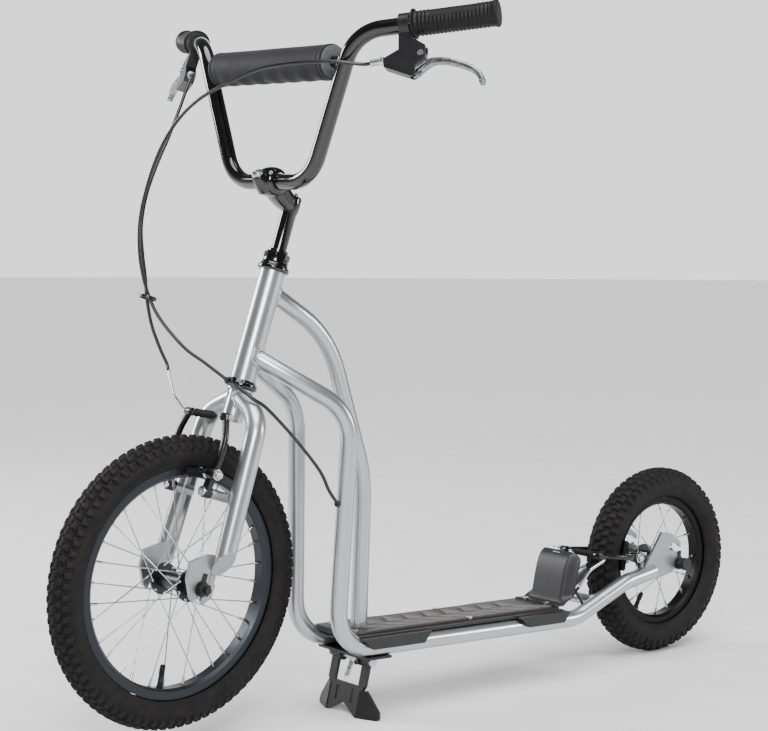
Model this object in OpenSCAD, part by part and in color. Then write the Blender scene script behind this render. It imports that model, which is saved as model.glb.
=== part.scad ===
// Kick scooter with a 16 inch front wheel and a 12 inch rear wheel, standing on its centre stand.
// X points forward, Y to the rider's left, Z up. The origin is on the ground, in the middle of
// the length over the tyres. Millimetres.

/* [Wheels] */
// Distance between the axles
wheelbase = 958; // [930:1:990]
// Outer radius of the front tyre
front_tyre_r = 202; // [198:0.5:206]
// Width of the front tyre
front_tyre_w = 48; // [42:0.5:50]
// Outer radius of the rear tyre
rear_tyre_r = 157; // [153:0.5:160]
// Width of the rear tyre
rear_tyre_w = 54; // [48:0.5:55]
// Spokes in the front wheel
front_spoke_count = 32; // [24:4:36]
// Spokes in the rear wheel
rear_spoke_count = 16; // [12:4:20]

/* [Steering] */
// Angle between the steering axis and the ground
head_angle = 73; // [71:0.5:75]
// Distance of the front axle ahead of the steering axis
fork_offset = 18; // [12:1:24]
// Angle that the front wheel is turned to the left
steer_angle = 5.6; // [-10:0.1:10]
// Half distance between the fork legs at the axle
fork_half_w = 65; // [63:0.5:68]

/* [Frame] */
// Outer diameter of the frame tubes
frame_tube_d = 25.4; // [22:0.2:28]
// Wall of the frame tubes
frame_wall = 1.6; // [1.2:0.1:2.4]
// Half distance between the deck rails
rail_half_w = 50; // [48:0.5:54]
// Height of the rail centres over the line under the wheels
rail_z = 87; // [84:0.5:90]
// Angle that the stand tips the front of the scooter up
rest_tilt = 1.5; // [1:0.1:2]

/* [Deck] */
// Thickness of the deck board
deck_t = 8; // [6:0.5:9]
// Half width of the flat top of the deck
deck_half_w = 46; // [42:0.5:48]
// Height of the rear guard above the deck
guard_h = 80; // [70:1:86]

/* [Handlebar] */
// Outer diameter of the handlebar tube
bar_d = 22.2; // [22:0.1:25.4]
// Half width over the bar ends
bar_half_w = 326; // [310:1:330]
// Diameter of the crossbar pad
pad_d = 50; // [40:1:54]
// Length of the crossbar pad
pad_len = 244; // [200:1:250]
// Length of a grip
grip_len = 112; // [100:1:116]
// Diameter of a grip
grip_d = 33; // [30:0.5:34]

/* [Hidden] */
$fn = 48;

silver = "#b9bcc0";
plate_grey = "#8f9396";
gloss_black = "#16171a";
matte_black = "#222326";
steel = "#c9ccd0";
rubber = "#1d1d1f";

// Fits: radial clearance of a running fit, and the gap between parts of different bodies
run_fit = 0.05;
gap = 0.4;

// Points of the frame were set out for this wheelbase; a longer one moves the front half forward
// and the rear half back
set_out_wheelbase = 958;
stretch = (wheelbase - set_out_wheelbase) / 2;

frame_r = frame_tube_d / 2;
front_axle_c = [wheelbase / 2, 0, front_tyre_r];
rear_axle_c = [-wheelbase / 2, 0, rear_tyre_r];
rake = head_angle - 90;

// Heights along the steering axis, from the foot of the front axle
crown_z = 232;
lower_cup_z = 278;
head_low_z = 290;
head_high_z = 449;
upper_cup_z = 461;
steerer_top_z = 478;
quill_top_z = 556;
steerer_r = 12.7;
head_tube_r = 18;
crown_r = 15;
quill_r = 11.1;
fork_leg_r = 14;
axle_r = 4.75;
front_drop_y = 50;
drop_t = 5;
rear_drop_y = rail_half_w - drop_t / 2;

// Centre lines of the frame tubes, before the scooter is tipped on its stand
side_line = [for (p = [
  [360, 12, 505], [236.2, 65.1, 431.5], [240.5, rail_half_w, rail_z], [-238, rail_half_w, rail_z],
  [-355, rail_half_w, rail_z + 49], [-418, rail_half_w, rail_z + 61]
]) spread(p)];
side_bends = [70, 60, 80, 80];
seat_x = spread_x(162);
top_line = [for (p = [[341, 0, 602], [231.6, 0, 537.6], [160, 0, 330], [162, 0, rail_z + 2]]) spread(p)];
top_bends = [150, 180];
bridge_r = 9;

// Handlebar centre line in the steering frame, left half
clamp_c = [45, 0, 566];
bar_low = [45, 82, 566];
bar_high = [104, 160, 754];
bar_end = [22, bar_half_w, 805];
cross_share = 0.81;

// Brakes: distance between pivots, reach of the arms
pivot_y = 40;
arm_t = 8;
arm_w = 11;
pad_reach = 25;
arm_reach = 104;
arm_line = [[pivot_y, 0], [49, 34], [52, 70], [39, arm_reach]];
spigot_r = 4;
front_brake_z = 126;
front_arm_x = 40;
rear_brake_c = [-wheelbase / 2 + 77, 0, 158];
rear_brake_lean = 6;
rear_arm_x = 9;

// Wheel sections
front_rim_r = 158.5;
front_rim_in = 144;
front_rim_half = 12;
rear_rim_r = 107.5;
rear_rim_in = 95;
rear_rim_half = 13;
flange_r = 22;
hub_r = 12;

deck_top = rail_z + frame_r + deck_t;
foot_half_w = 36;
foot_rise = 0.8;
deck_front = spread_x(206);
deck_len = 2 * deck_front;
guard_x = spread_x(-222);
guard_half_w = 46;

stand_pin_c = spread([172, 0, 64]);
stand_barrel_r = 5.8;
stand_plate_t = 5;
stand_lean = 12;
stand_reach = 83.6;

// ---- small vector tools ----
function unit(v) = v / norm(v);
function turn(a, b, c) = acos(unit(b - a) * unit(c - b));
function spin_z(p, a) = [p[0] * cos(a) - p[1] * sin(a), p[0] * sin(a) + p[1] * cos(a), p[2]];
function tip_y(p, a) = [p[0] * cos(a) + p[2] * sin(a), p[1], p[2] * cos(a) - p[0] * sin(a)];
// A point of the steering frame in the frame of the untipped scooter
function from_steering(p) = front_axle_c + tip_y(spin_z(p, steer_angle) - [fork_offset, 0, 0], rake);
function mirrored(p) = [for (q = p) [q[0], -q[1], q[2]]];
function spread_x(x) = x + (x > 0 ? stretch : -stretch);
function spread(p) = [spread_x(p[0]), p[1], p[2]];

// ---- frames ----
// The untipped scooter has x = 0 midway between the axles, and is moved to the origin here
module tipped() translate(rear_axle_c + [(rear_tyre_r - front_tyre_r) / 2, 0, 0])
  rotate([0, -rest_tilt, 0]) translate(-rear_axle_c) children();
// The steering axis as Z, in the frame of the untipped scooter
module on_steering_axis() translate(front_axle_c) rotate([0, rake, 0])
  translate([-fork_offset, 0, 0]) children();
// The steering frame without the steering angle, for what stays with the frame
module steered_straight() tipped() on_steering_axis() children();
module steered() steered_straight() rotate([0, 0, steer_angle]) children();
module left_right(side) mirror([0, side < 0 ? 1 : 0, 0]) children();
module axes_at(o, x, y, z) multmatrix([
  [x[0], y[0], z[0], o[0]], [x[1], y[1], z[1], o[1]], [x[2], y[2], z[2], o[2]], [0, 0, 0, 1]
]) children();
// Front brake frame: X along the pivots, Z along the arms
module front_brake() steered() translate([0, 0, front_brake_z]) children();
// Rear brake frame: X up along the pivots, Z forward along the arms, Y to the right
module rear_brake() tipped() axes_at(rear_brake_c, [-sin(rear_brake_lean), 0, cos(rear_brake_lean)],
  [0, -1, 0], [cos(rear_brake_lean), 0, sin(rear_brake_lean)]) children();
module front_wheel() steered() translate([fork_offset, 0, 0]) children();
module rear_wheel() tipped() translate(rear_axle_c) children();
// Stand frame: X forward out of the plate, Y left, Z up the legs, origin on the pin
module stand_frame() tipped() translate(stand_pin_c) rotate([0, -stand_lean, 0]) children();

// ---- tubes ----
module seg(a, b, r) {
  v = b - a;
  translate(a) rotate([0, acos(v[2] / norm(v)), atan2(v[1], v[0])]) cylinder(h = norm(v), r = r);
}
// Bends are a hair thicker than the straights, as a share of the radius, and the straights run a
// hair into them
bend_step = 0.014;
bend_bite = 0.05;
module elbow(a, b, c, bend_r, r, wall = 0) {
  u = unit(b - a);
  n = unit(cross(u, unit(c - b)));
  m = cross(n, u);
  o = b - u * bend_r * tan(turn(a, b, c) / 2) + m * bend_r;
  axes_at(o, -m, u, n) rotate_extrude(angle = turn(a, b, c)) translate([bend_r, 0]) difference() {
    circle(r * (1 + bend_step));
    if (wall > 0) circle(r * (1 - bend_step) - wall);
  }
}
// How much each end of each straight is taken back for the bends
function straight_cuts(p, bends) = let (n = len(p) - 1) [for (i = [0:n])
  i == 0 || i == n ? 0 : bends[i - 1] * tan(turn(p[i - 1], p[i], p[i + 1]) / 2) - bend_bite];
// Round bar along a line of points, each inner corner rounded with its own bend radius
module rod(p, bends, r) {
  n = len(p) - 1;
  cut = straight_cuts(p, bends);
  for (i = [0:n - 1]) {
    u = unit(p[i + 1] - p[i]);
    seg(p[i] + u * cut[i], p[i + 1] - u * cut[i + 1], r);
  }
  for (i = [1:1:n - 1]) elbow(p[i - 1], p[i], p[i + 1], bends[i - 1], r);
}
// The same path as a hollow tube, each stretch bored on its own
module pipe(p, bends, r, wall) {
  n = len(p) - 1;
  cut = straight_cuts(p, bends);
  for (i = [0:n - 1]) {
    u = unit(p[i + 1] - p[i]);
    difference() {
      seg(p[i] + u * cut[i], p[i + 1] - u * cut[i + 1], r);
      seg(p[i] + u * (cut[i] - 1), p[i + 1] - u * (cut[i + 1] - 1), r - wall);
    }
  }
  for (i = [1:1:n - 1]) elbow(p[i - 1], p[i], p[i + 1], bends[i - 1], r, wall);
}
module x_rod(r, x0, x1) translate([x0, 0, 0]) rotate([0, 90, 0]) cylinder(h = x1 - x0, r = r);
module y_rod(r, y0, y1) translate([0, y0, 0]) rotate([-90, 0, 0]) cylinder(h = y1 - y0, r = r);
module z_rod(r, z0, z1) translate([0, 0, z0]) cylinder(h = z1 - z0, r = r);
// Flat strap of width w in the YZ plane, thickness t along X, with mitred corners
function side_of(p, i, w) = let (n = len(p) - 1, a = unit(p[max(i, 1)] - p[max(i, 1) - 1]),
  b = unit(p[min(i, n - 1) + 1] - p[min(i, n - 1)]), m = unit(a + b)) p[i] + [m[1], -m[0]] * w / 2 / (m * a);
module strap(p, w, t) rotate([90, 0, 90]) linear_extrude(t)
  polygon([each [for (i = [0:len(p) - 1]) side_of(p, i, w)], each [for (i = [len(p) - 1:-1:0]) side_of(p, i, -w)]]);
// Cable swept along hand-set points with a smooth curve through them
function curve(a, b, c, d, t) = 0.5 * (2 * b + (c - a) * t + (2 * a - 5 * b + 4 * c - d) * t * t
  + (3 * b - a - 3 * c + d) * t * t * t);
function smooth(p, k) = let (n = len(p) - 1)
  [for (i = [0:n - 1]) for (j = [0:k - 1]) curve(p[max(i - 1, 0)], p[i], p[i + 1], p[min(i + 2, n)], j / k), p[n]];
function normals(p, i, prev) = let (n = len(p) - 1, t = unit(p[min(i + 1, n)] - p[max(i - 1, 0)]),
  u = unit(prev - t * (prev * t))) i == n ? [[u, cross(t, u)]] : concat([[u, cross(t, u)]], normals(p, i + 1, u));
module cable(p, r, sides) {
  f = normals(p, 0, [0.3, 1, 0.2]);
  n = len(p);
  rings = [for (i = [0:n - 1]) for (j = [0:sides - 1])
    p[i] + r * (cos(360 * j / sides) * f[i][0] + sin(360 * j / sides) * f[i][1])];
  walls = [for (i = [0:n - 2]) for (j = [0:sides - 1])
    [i * sides + j, (i + 1) * sides + j, (i + 1) * sides + (j + 1) % sides, i * sides + (j + 1) % sides]];
  polyhedron(rings, concat([[for (j = [0:sides - 1]) j]], walls,
    [[for (j = [sides - 1:-1:0]) (n - 1) * sides + j]]), convexity = 10);
}

// ---- frame ----
module head_tube() color(silver) steered_straight() difference() {
  z_rod(head_tube_r, head_low_z, head_high_z);
  z_rod(head_tube_r - 2.2, head_low_z - 1, head_high_z + 1);
}
module head_tube_solid() on_steering_axis() z_rod(head_tube_r, head_low_z - 20, head_high_z + 20);
module top_tube() color(silver) tipped() difference() {
  pipe(top_line, top_bends, frame_r, frame_wall);
  head_tube_solid();
  translate([seat_x, 0, rail_z]) y_rod(bridge_r, -30, 30);
}
module side_tube(side) left_right(side) difference() {
  pipe(side_line, side_bends, frame_r, frame_wall);
  head_tube_solid();
  if (side > 0) cable_holes();
  rear_plate_blank();
}
module cable_holes() {
  seg(spread([270, 60.5, 302]), spread([236, 59, 302]), 4.6);
  seg(spread([-260, 47, 95]), spread([-257.5, 45, 112]), 3.8);
}
module side_tube_left() color(silver) tipped() side_tube(1);
module side_tube_right() color(silver) tipped() side_tube(-1);
module bridge(x, z) difference() {
  translate([spread_x(x), 0, z]) y_rod(bridge_r, -rail_half_w, rail_half_w);
  for (s = [-1, 1]) left_right(s) {
    seg([seat_x + 58, rail_half_w, rail_z], side_line[3], frame_r);
    seg(side_line[3], side_line[4], frame_r);
  }
}
module frame_bridges() color(silver) tipped() {
  bridge(162, rail_z);
  bridge(-20, rail_z);
  bridge(-196, rail_z);
  bridge(-288, rail_z + 22);
}
// Rear axle plate with two open slots: the lower one holds the axle
rear_outline = [
  [-398, 139], [-398, 158], [-436, 212], [-458, 209], [-482, 193], [-483, 184], [-474, 190],
  [-458, 193], [-452, 188], [-455, 181], [-478, 176], [-486, 168], [-479, 162], [-474, 157],
  [-479, 152], [-470, 147], [-448, 139], [-424, 136]
];
module rear_plate_blank() translate([-stretch, rear_drop_y, 0]) rotate([90, 0, 0]) mirror([0, 0, 1])
  linear_extrude(drop_t) polygon(rear_outline);
module rear_dropouts() color(plate_grey) {
  tipped() for (s = [-1, 1]) left_right(s) difference() {
    rear_plate_blank();
    translate(rear_axle_c) y_rod(axle_r + 0.1, 0, 90);
  }
  difference() {
    rear_brake() for (s = [-1, 1]) left_right(s) brake_boss(-12, rear_arm_x);
    tipped() for (s = [-1, 1]) left_right(s) {
      seg(side_line[4], side_line[5], frame_r);
      rear_plate_blank();
    }
  }
}
module deck_flap(x0, x1) rotate([90, 0, 0]) mirror([0, 0, 1])
  linear_extrude(3) polygon([[x0, deck_top - 4], [x1, deck_top - 4], [x1 - 20, rail_z], [x0 + 12, rail_z]]);
module deck_board() color(matte_black) tipped() difference() {
  union() {
    translate([deck_front - deck_len, -deck_half_w, deck_top - deck_t]) cube([deck_len, 2 * deck_half_w, deck_t]);
    translate([spread_x(-160), -foot_half_w, deck_top - 1])
      cube([spread_x(140) - spread_x(-160), 2 * foot_half_w, 1 + foot_rise]);
    for (s = [-1, 1]) left_right(s) {
      translate([deck_front - deck_len, deck_half_w - 1, deck_top - deck_t + 2])
        cube([deck_len, 11, deck_t - 4]);
      for (x = [[spread_x(76), spread_x(204)], [spread_x(-212), spread_x(-104)]]) {
        translate([x[0], deck_half_w, deck_top - deck_t + 1]) cube([x[1] - x[0], 20, 3]);
        translate([0, rail_half_w + frame_r + 0.5, 0]) deck_flap(x[0], x[1]);
      }
    }
  }
  rod(top_line, top_bends, frame_r + 0.3);
  for (s = [-1, 1]) left_right(s) rod([side_line[1], side_line[2], side_line[3]], [side_bends[1]], frame_r + 0.3);
  for (q = deck_screw_places) translate([q[0], q[1], 0]) z_rod(2.5, 80, 130);
}
screw_back_x = spread_x(-199);
deck_screw_places = [
  [spread_x(190), -28], [spread_x(190), 28], [screw_back_x, -24], [screw_back_x, 24],
  [spread_x(-20), 41], [spread_x(-20), -41]
];
module deck_screws() color(steel) tipped() for (q = deck_screw_places) translate([q[0], q[1], 0]) {
  lift = q[0] == screw_back_x ? 3 : 0;
  z_rod(2.4, rail_z + frame_r - 2, deck_top + lift + 1);
  difference() {
    z_rod(4.5, deck_top + lift, deck_top + lift + 2.6);
    translate([0, 0, deck_top + lift + 1.2]) cylinder(h = 3, r = 1.8, $fn = 6);
  }
}
guard_side = [[0, 0], [26, 0], [26, 3], [5, 3], [-14, guard_h], [-17, guard_h], [-2, 6]];
module rear_guard() color(matte_black) tipped() translate([guard_x, 0, deck_top]) difference() {
  union() {
    translate([0, -guard_half_w, 0]) rotate([90, 0, 0]) mirror([0, 0, 1])
      linear_extrude(2 * guard_half_w) polygon(guard_side);
    for (s = [-1, 1]) left_right(s) translate([0, guard_half_w - 3, 0]) rotate([90, 0, 0]) mirror([0, 0, 1])
      linear_extrude(3) polygon([[1, 2], [-15, guard_h - 14], [-28, guard_h - 24], [-22, 26], [-14, 2]]);
  }
  for (s = [-1, 1]) left_right(s) {
    translate([-60, guard_half_w, guard_h - 20]) rotate([45, 0, 0]) cube([80, 40, 40]);
    translate([screw_back_x - guard_x, 24, 0]) z_rod(2.5, -5, 5);
  }
}
module headset_cups() color(gloss_black) steered_straight() {
  difference() {
    union() {
      z_rod(22.5, head_high_z, upper_cup_z - 4);
      z_rod(20, upper_cup_z - 4, upper_cup_z);
    }
    z_rod(steerer_r + run_fit, 0, 600);
  }
  difference() {
    union() {
      z_rod(20, lower_cup_z + 8, head_low_z);
      z_rod(22.5, lower_cup_z, lower_cup_z + 8);
    }
    z_rod(steerer_r + run_fit, 0, 600);
  }
}
clip_c = spread([404, 4, 475]);
module cable_guides() color(matte_black) tipped() {
  difference() {
    seg(clip_c + [-26, -4, 1], clip_c + [3, 0.3, 0.6], 4.6);
    head_tube_solid();
    on_steering_axis() z_rod(22.6, lower_cup_z - 10, head_low_z + 0.1);
    seg(clip_c + [0, -12, 0], clip_c + [0, 12, 0], 2.6);
  }
  difference() {
    seg(spread([254.5, 59.8, 302]), spread([247, 59.5, 302]), 4.5);
    seg(spread([270, 60.5, 302]), spread([240, 59, 302]), 2.6);
  }
}

// ---- centre stand ----
module stand_bracket() color(matte_black) tipped() difference() {
  union() {
    translate([stand_pin_c[0] - 26, -60, rail_z - frame_r - 4]) cube([44, 120, 4]);
    for (s = [-1, 1]) left_right(s) translate([stand_pin_c[0], 0, stand_pin_c[2]]) {
      translate([-9, 20, 0]) cube([18, 4, rail_z - frame_r - 3 - stand_pin_c[2]]);
      y_rod(9, 20, 24);
    }
    translate([stand_pin_c[0] - 12, -7, 50]) cube([3, 5, rail_z - frame_r - 53]);
  }
  translate(stand_pin_c) y_rod(4, -70, 70);
}
module stand_pin() color(steel) tipped() translate(stand_pin_c) {
  y_rod(4, -47, 47);
  for (s = [-1, 1]) left_right(s) y_rod(6.5, 47, 50);
}
stand_plate = [
  [28, -3], [28, -38], [-0.01, -38], [-0.01, -66], [32, -stand_reach], [38, -stand_reach], [38, -45],
  [44, -36], [44, -3]
];
foot_wing = [[-4, -45], [-4, -stand_reach], [30, -stand_reach + 1], [36, -stand_reach + 7], [34, -68], [8, -42]];
module stand_sheet(outline) rotate([90, 0, 90]) translate([0, 0, -stand_plate_t / 2])
  linear_extrude(stand_plate_t) polygon(outline);
module stand_legs() color(matte_black) stand_frame() for (s = [-1, 1]) left_right(s) difference() {
  union() {
    stand_sheet(stand_plate);
    y_rod(stand_barrel_r, 28, 44);
    translate([0, 38, 0]) rotate([0, 0, 22]) stand_sheet(foot_wing);
  }
  y_rod(4 + run_fit, 20, 50);
  translate([-5, 15.5, -66]) cube([10, 5, 21]);
}
module stand_spring() color(steel) tipped() translate(stand_pin_c)
  seg([-10.5, -11.4, -8], [3, -11.4, -33], 4);

// ---- fork ----
module fork_steerer() color(silver) steered() difference() {
  union() {
    z_rod(steerer_r, crown_z + 4, steerer_top_z);
    z_rod(crown_r, crown_z, lower_cup_z - 3);
    z_rod(19, lower_cup_z - 3, lower_cup_z - gap);
  }
  z_rod(quill_r + 0.02, crown_z - 1, steerer_top_z + 1);
}
leg_line = [[0, 10, 263], [0, 56, 240], [0, fork_half_w, 10]];
module leg_cut(lift) translate([0, fork_half_w - 14, 22 + lift]) rotate([53, 0, 0])
  translate([-40, -40, -90]) cube([80, 160, 90]);
module fork_leg() {
  difference() {
    pipe(leg_line, [45], fork_leg_r, 1.8);
    leg_cut(0);
    z_rod(crown_r, 200, 300);
  }
  difference() {
    seg(leg_line[1], leg_line[2], fork_leg_r - 1);
    leg_cut(0);
    translate([0, fork_half_w - 14, 25]) rotate([53, 0, 0]) translate([-40, -60, 0]) cube([80, 300, 300]);
  }
}
module fork_leg_left() color(silver) steered() fork_leg();
module fork_leg_right() color(silver) steered() mirror([0, 1, 0]) fork_leg();
front_outline = [
  [-5, 50], [20, 47], [48, 31], [46, 8], [32, -16], [24, -20], [22.8, -16], [22.8, 0], [18, 5], [13.2, 0],
  [13.2, -16], [8, -20], [-3, -8]
];
module front_plate() translate([0, front_drop_y, 0]) rotate([90, 0, 0]) mirror([0, 0, 1])
  linear_extrude(drop_t) polygon(front_outline);
// Boss that carries a brake arm: base, spigot for the arm, thread for its bolt
module brake_boss(base_x, arm_x) difference() {
  translate([0, pivot_y, 0]) union() {
    x_rod(7, base_x, arm_x - gap);
    x_rod(spigot_r, arm_x - gap, arm_x + arm_t + gap);
  }
  translate([0, pivot_y, 0]) x_rod(2.5, arm_x - 10, arm_x + arm_t + 10);
}
module fork_fittings() color(plate_grey) steered() for (s = [-1, 1]) left_right(s) {
  difference() {
    front_plate();
    seg(leg_line[1], leg_line[2], fork_leg_r);
    translate([fork_offset, 0, 0]) y_rod(axle_r + 0.1, 0, 90);
  }
  difference() {
    union() {
      translate([0, 0, front_brake_z]) brake_boss(4, front_arm_x);
      translate([4, pivot_y, front_brake_z - 5]) cube([12, 14, 10]);
    }
    seg(leg_line[1], leg_line[2], fork_leg_r);
  }
}

// ---- headset, stem, handlebar ----
module headset_locknut() color(gloss_black) steered() difference() {
  union() {
    z_rod(18, upper_cup_z + gap, upper_cup_z + 6);
    translate([0, 0, upper_cup_z + 6]) cylinder(h = 10, r = 18, $fn = 8);
    z_rod(14.5, upper_cup_z + 16, steerer_top_z + 2);
  }
  z_rod(steerer_r, 400, steerer_top_z);
  z_rod(quill_r + 0.05, 400, 600);
}
module stem() color(gloss_black) steered() difference() {
  union() {
    z_rod(quill_r, 330, quill_top_z - 10);
    z_rod(13, quill_top_z - 22, quill_top_z + 4);
    translate([0, 0, quill_top_z - 10]) rotate([0, -14, 0]) translate([0, -11, -9]) cube([45, 22, 20]);
    translate(clamp_c) y_rod(21, -17, 17);
    translate(clamp_c + [-2, 0, 14]) y_rod(13, -14, 14);
    translate(clamp_c + [18, 0, -6]) rotate([0, 50, 0]) z_rod(8.5, -16, 10);
  }
  translate(clamp_c) y_rod(bar_d / 2, -30, 30);
  translate(clamp_c + [18, 0, -6]) rotate([0, 50, 0]) z_rod(4.2, -20, 40);
  z_rod(4.2, 320, 600);
}
module stem_bolts() color(steel) steered() {
  translate(clamp_c + [18, 0, -6]) rotate([0, 50, 0]) difference() {
    union() {
      z_rod(4.1, -15, 10);
      z_rod(7.5, 10, 16);
    }
    translate([0, 0, 12]) cylinder(h = 8, r = 3.6, $fn = 6);
  }
  difference() {
    union() {
      z_rod(4.1, 335, quill_top_z + 4);
      z_rod(6.5, quill_top_z + 4, quill_top_z + 10);
    }
    translate([0, 0, quill_top_z + 6]) cylinder(h = 8, r = 3, $fn = 6);
  }
}
bar_line = concat([mirrored([bar_end])[0], mirrored([bar_high])[0], mirrored([bar_low])[0]],
  [bar_low, bar_high, bar_end]);
bar_bends = [60, 55, 55, 60];
cross_end = bar_low + (bar_high - bar_low) * cross_share;
module handlebar() color(gloss_black) steered() pipe(bar_line, bar_bends, bar_d / 2, 2);
module crossbar() color(gloss_black) steered() difference() {
  pipe([mirrored([cross_end])[0], cross_end], [], 8, 1.5);
  rod(bar_line, bar_bends, bar_d / 2);
}
module bar_pad() color(matte_black) steered() translate([cross_end[0], 0, cross_end[2]]) difference() {
  y_rod(pad_d / 2, -pad_len / 2, pad_len / 2);
  y_rod(8, -200, 200);
}
// Frame on the straight end of the bar: X outwards along the bar, Z away from the lever, origin at s
module on_bar(s) {
  e = unit(bar_end - bar_high);
  n = unit([0, 0, -1] - e * (e * [0, 0, -1]));
  axes_at(bar_high + e * s, e, cross(-n, e), -n) children();
}
straight = norm(bar_end - bar_high);
module grip() on_bar(straight - grip_len) difference() {
  union() {
    x_rod(grip_d / 2, 0, grip_len + 3);
    x_rod(20, 0, 4);
    x_rod(18, grip_len - 1, grip_len + 3);
  }
  x_rod(bar_d / 2, -1, grip_len);
}
module grip_left() color(rubber) steered() grip();
module grip_right() color(rubber) steered() mirror([0, 1, 0]) grip();

// ---- brake levers: x outwards, z up, all in the plane of the lever ----
lever_at = 70;
lever_pivot = [22, -45];
bracket_outline = [
  [-8, -8], [8, -8], [8, -21], [17, -26], [28, -34], [27, -50], [14, -58], [14, -73], [9, -75], [-28, -58],
  [-29, -46], [-8, -36]
];
module lever_bracket() on_bar(lever_at) difference() {
  union() {
    x_rod(16, -7, 7);
    rotate([90, 0, 0]) translate([0, 0, -8]) linear_extrude(16) polygon(bracket_outline);
  }
  x_rod(bar_d / 2, -20, 20);
  translate([6, -4.5, -90]) cube([40, 9, 68]);
  translate([lever_pivot[0], 0, lever_pivot[1]]) y_rod(2.5, -20, 20);
  translate([0, 0, -47]) x_rod(3, -40, 40);
}
blade_outline = [
  [15, -38], [22, -38], [28, -44], [30, -52], [40, -50], [52, -52], [70, -58], [88, -66], [99, -75],
  [105, -86], [105, -96], [99, -96], [97, -87], [90, -77], [74, -68], [56, -62], [42, -61], [30, -68],
  [20, -76], [14, -75], [12, -60]
];
module lever_blade() on_bar(lever_at) difference() {
  union() {
    rotate([90, 0, 0]) translate([0, 0, -4]) linear_extrude(8) polygon(blade_outline);
    translate([72, 0, -64]) rotate([0, 22, 0]) translate([-22, -6, -3]) cube([44, 12, 6]);
  }
  translate([lever_pivot[0], 0, lever_pivot[1]]) y_rod(2.5 + run_fit, -20, 20);
}
module lever_hardware() on_bar(lever_at) {
  translate([lever_pivot[0], 0, lever_pivot[1]]) {
    y_rod(2.5, -8, 8);
    y_rod(4, 8, 10);
    y_rod(4, -10, -8);
  }
}
module lever_barrel() on_bar(lever_at) translate([0, 0, -47]) difference() {
  union() {
    x_rod(3.6, -34, -29);
    x_rod(6, -34, -30);
    x_rod(4.5, -48, -34);
  }
  x_rod(2.95, -50, -26);
}
module lever_bracket_left() color(matte_black) steered() lever_bracket();
module lever_bracket_right() color(matte_black) steered() mirror([0, 1, 0]) lever_bracket();
module lever_blade_left() color(steel) steered() lever_blade();
module lever_blade_right() color(steel) steered() mirror([0, 1, 0]) lever_blade();
module lever_screws() color(steel) steered() for (s = [-1, 1]) left_right(s) lever_hardware();
module lever_barrels() color(steel) steered() for (s = [-1, 1]) left_right(s) lever_barrel();

// ---- brake cables ----
bar_e = unit(bar_end - bar_high);
bar_n = unit([0, 0, -1] - bar_e * (bar_e * [0, 0, -1]));
barrel_mouth = bar_high + bar_e * (lever_at - 48.6) + bar_n * 47;
barrel_out = bar_high + bar_e * (lever_at - 60) + bar_n * 47;
front_cable_points = [
  mirrored([barrel_mouth])[0], mirrored([barrel_out])[0], [103, -174, 695], [112, -165, 655], [124, -154, 606],
  [135, -147, 560], [143, -140, 510], [141, -134, 465], [129, -131, 430], [115, -129, 400], [102.5, -128, 371],
  [84, -126, 338], [60, -124, 310], [44, -120.8, 292.9], [44, -112.6, 282.8]
];
module front_cable() color(rubber) steered() cable(smooth(front_cable_points, 4), 2.5, 8);
rear_cable_points = [
  for (p = [
    barrel_mouth, barrel_out, [122, 150, 705], [145, 100, 695], [158, 50, 683], [165, 0, 662], [166, -50, 640],
    [162, -90, 612], [160, -114, 570], [157, -124, 520], [150, -128, 470], [136, -123, 420], [111.5, -118.5, 378],
    [90, -102, 346], [60, -72, 316], [42, -40, 301]
  ]) from_steering(p)
];
frame_cable_points = [for (p = [
  [401, 28, 466], [388, 46, 451], [369.8, 52, 438], [329, 58.5, 398], [290, 66, 352], [270, 63, 322],
  [254, 60.2, 304], [243, 59, 290], [240, 57, 240], [240, 52.4, 160], [236, 50.5, 122], [220, 50, 96],
  [190, 50, 88], [140, 50, 87], [60, 50, 87], [-140, 50, 87], [-220, 50, 87], [-249, 49, 92.5], [-259, 46.2, 101.8], [-257.8, 45.2, 110],
  [-254.2, 42.2, 119], [-249.2, 39.8, 127.2], [-252.5, 43.5, 135.6]
]) spread(p)];
module rear_cable() color(rubber) tipped()
  cable(smooth(concat(rear_cable_points, [clip_c], frame_cable_points), 2), 2.5, 8);
tie_c = [105.6, -121.6, 371];
module cable_tie() color(matte_black) steered() translate(tie_c) difference() {
  z_rod(12.6, -2, 2);
  z_rod(11.2, -5, 5);
}

// ---- cantilever brakes: one design, used at the front and the rear ----
module brake_arm(arm_x) difference() {
  translate([arm_x, 0, 0]) {
    strap(arm_line, arm_w, arm_t);
    translate([0, pivot_y, 0]) x_rod(7.2, 0, arm_t);
    translate([0, arm_line[3][0], arm_reach]) x_rod(6.4, 0, arm_t);
  }
  translate([0, pivot_y, 0]) x_rod(spigot_r + run_fit, arm_x - 5, arm_x + arm_t + 5);
  translate([arm_x + arm_t / 2, 0, pad_reach]) y_rod(3, 20, 80);
  translate([arm_x + arm_t / 2, 0, arm_reach]) y_rod(2.6, 20, 60);
}
module brake_pad(arm_x, rim_half, lean) translate([arm_x + arm_t / 2, 0, pad_reach]) {
  difference() {
    rotate([0, lean, 0]) translate([-27, rim_half + 2.2, -6]) cube([50, 7.8, 7.5]);
    y_rod(3, rim_half + 6, 80);
  }
  y_rod(3, rim_half + 6, 60);
  y_rod(7, 36, 39);
  y_rod(7, 55.5, 57);
  translate([0, 57, 0]) rotate([-90, 0, 0]) cylinder(h = 5, r = 5.6, $fn = 6);
}
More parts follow.
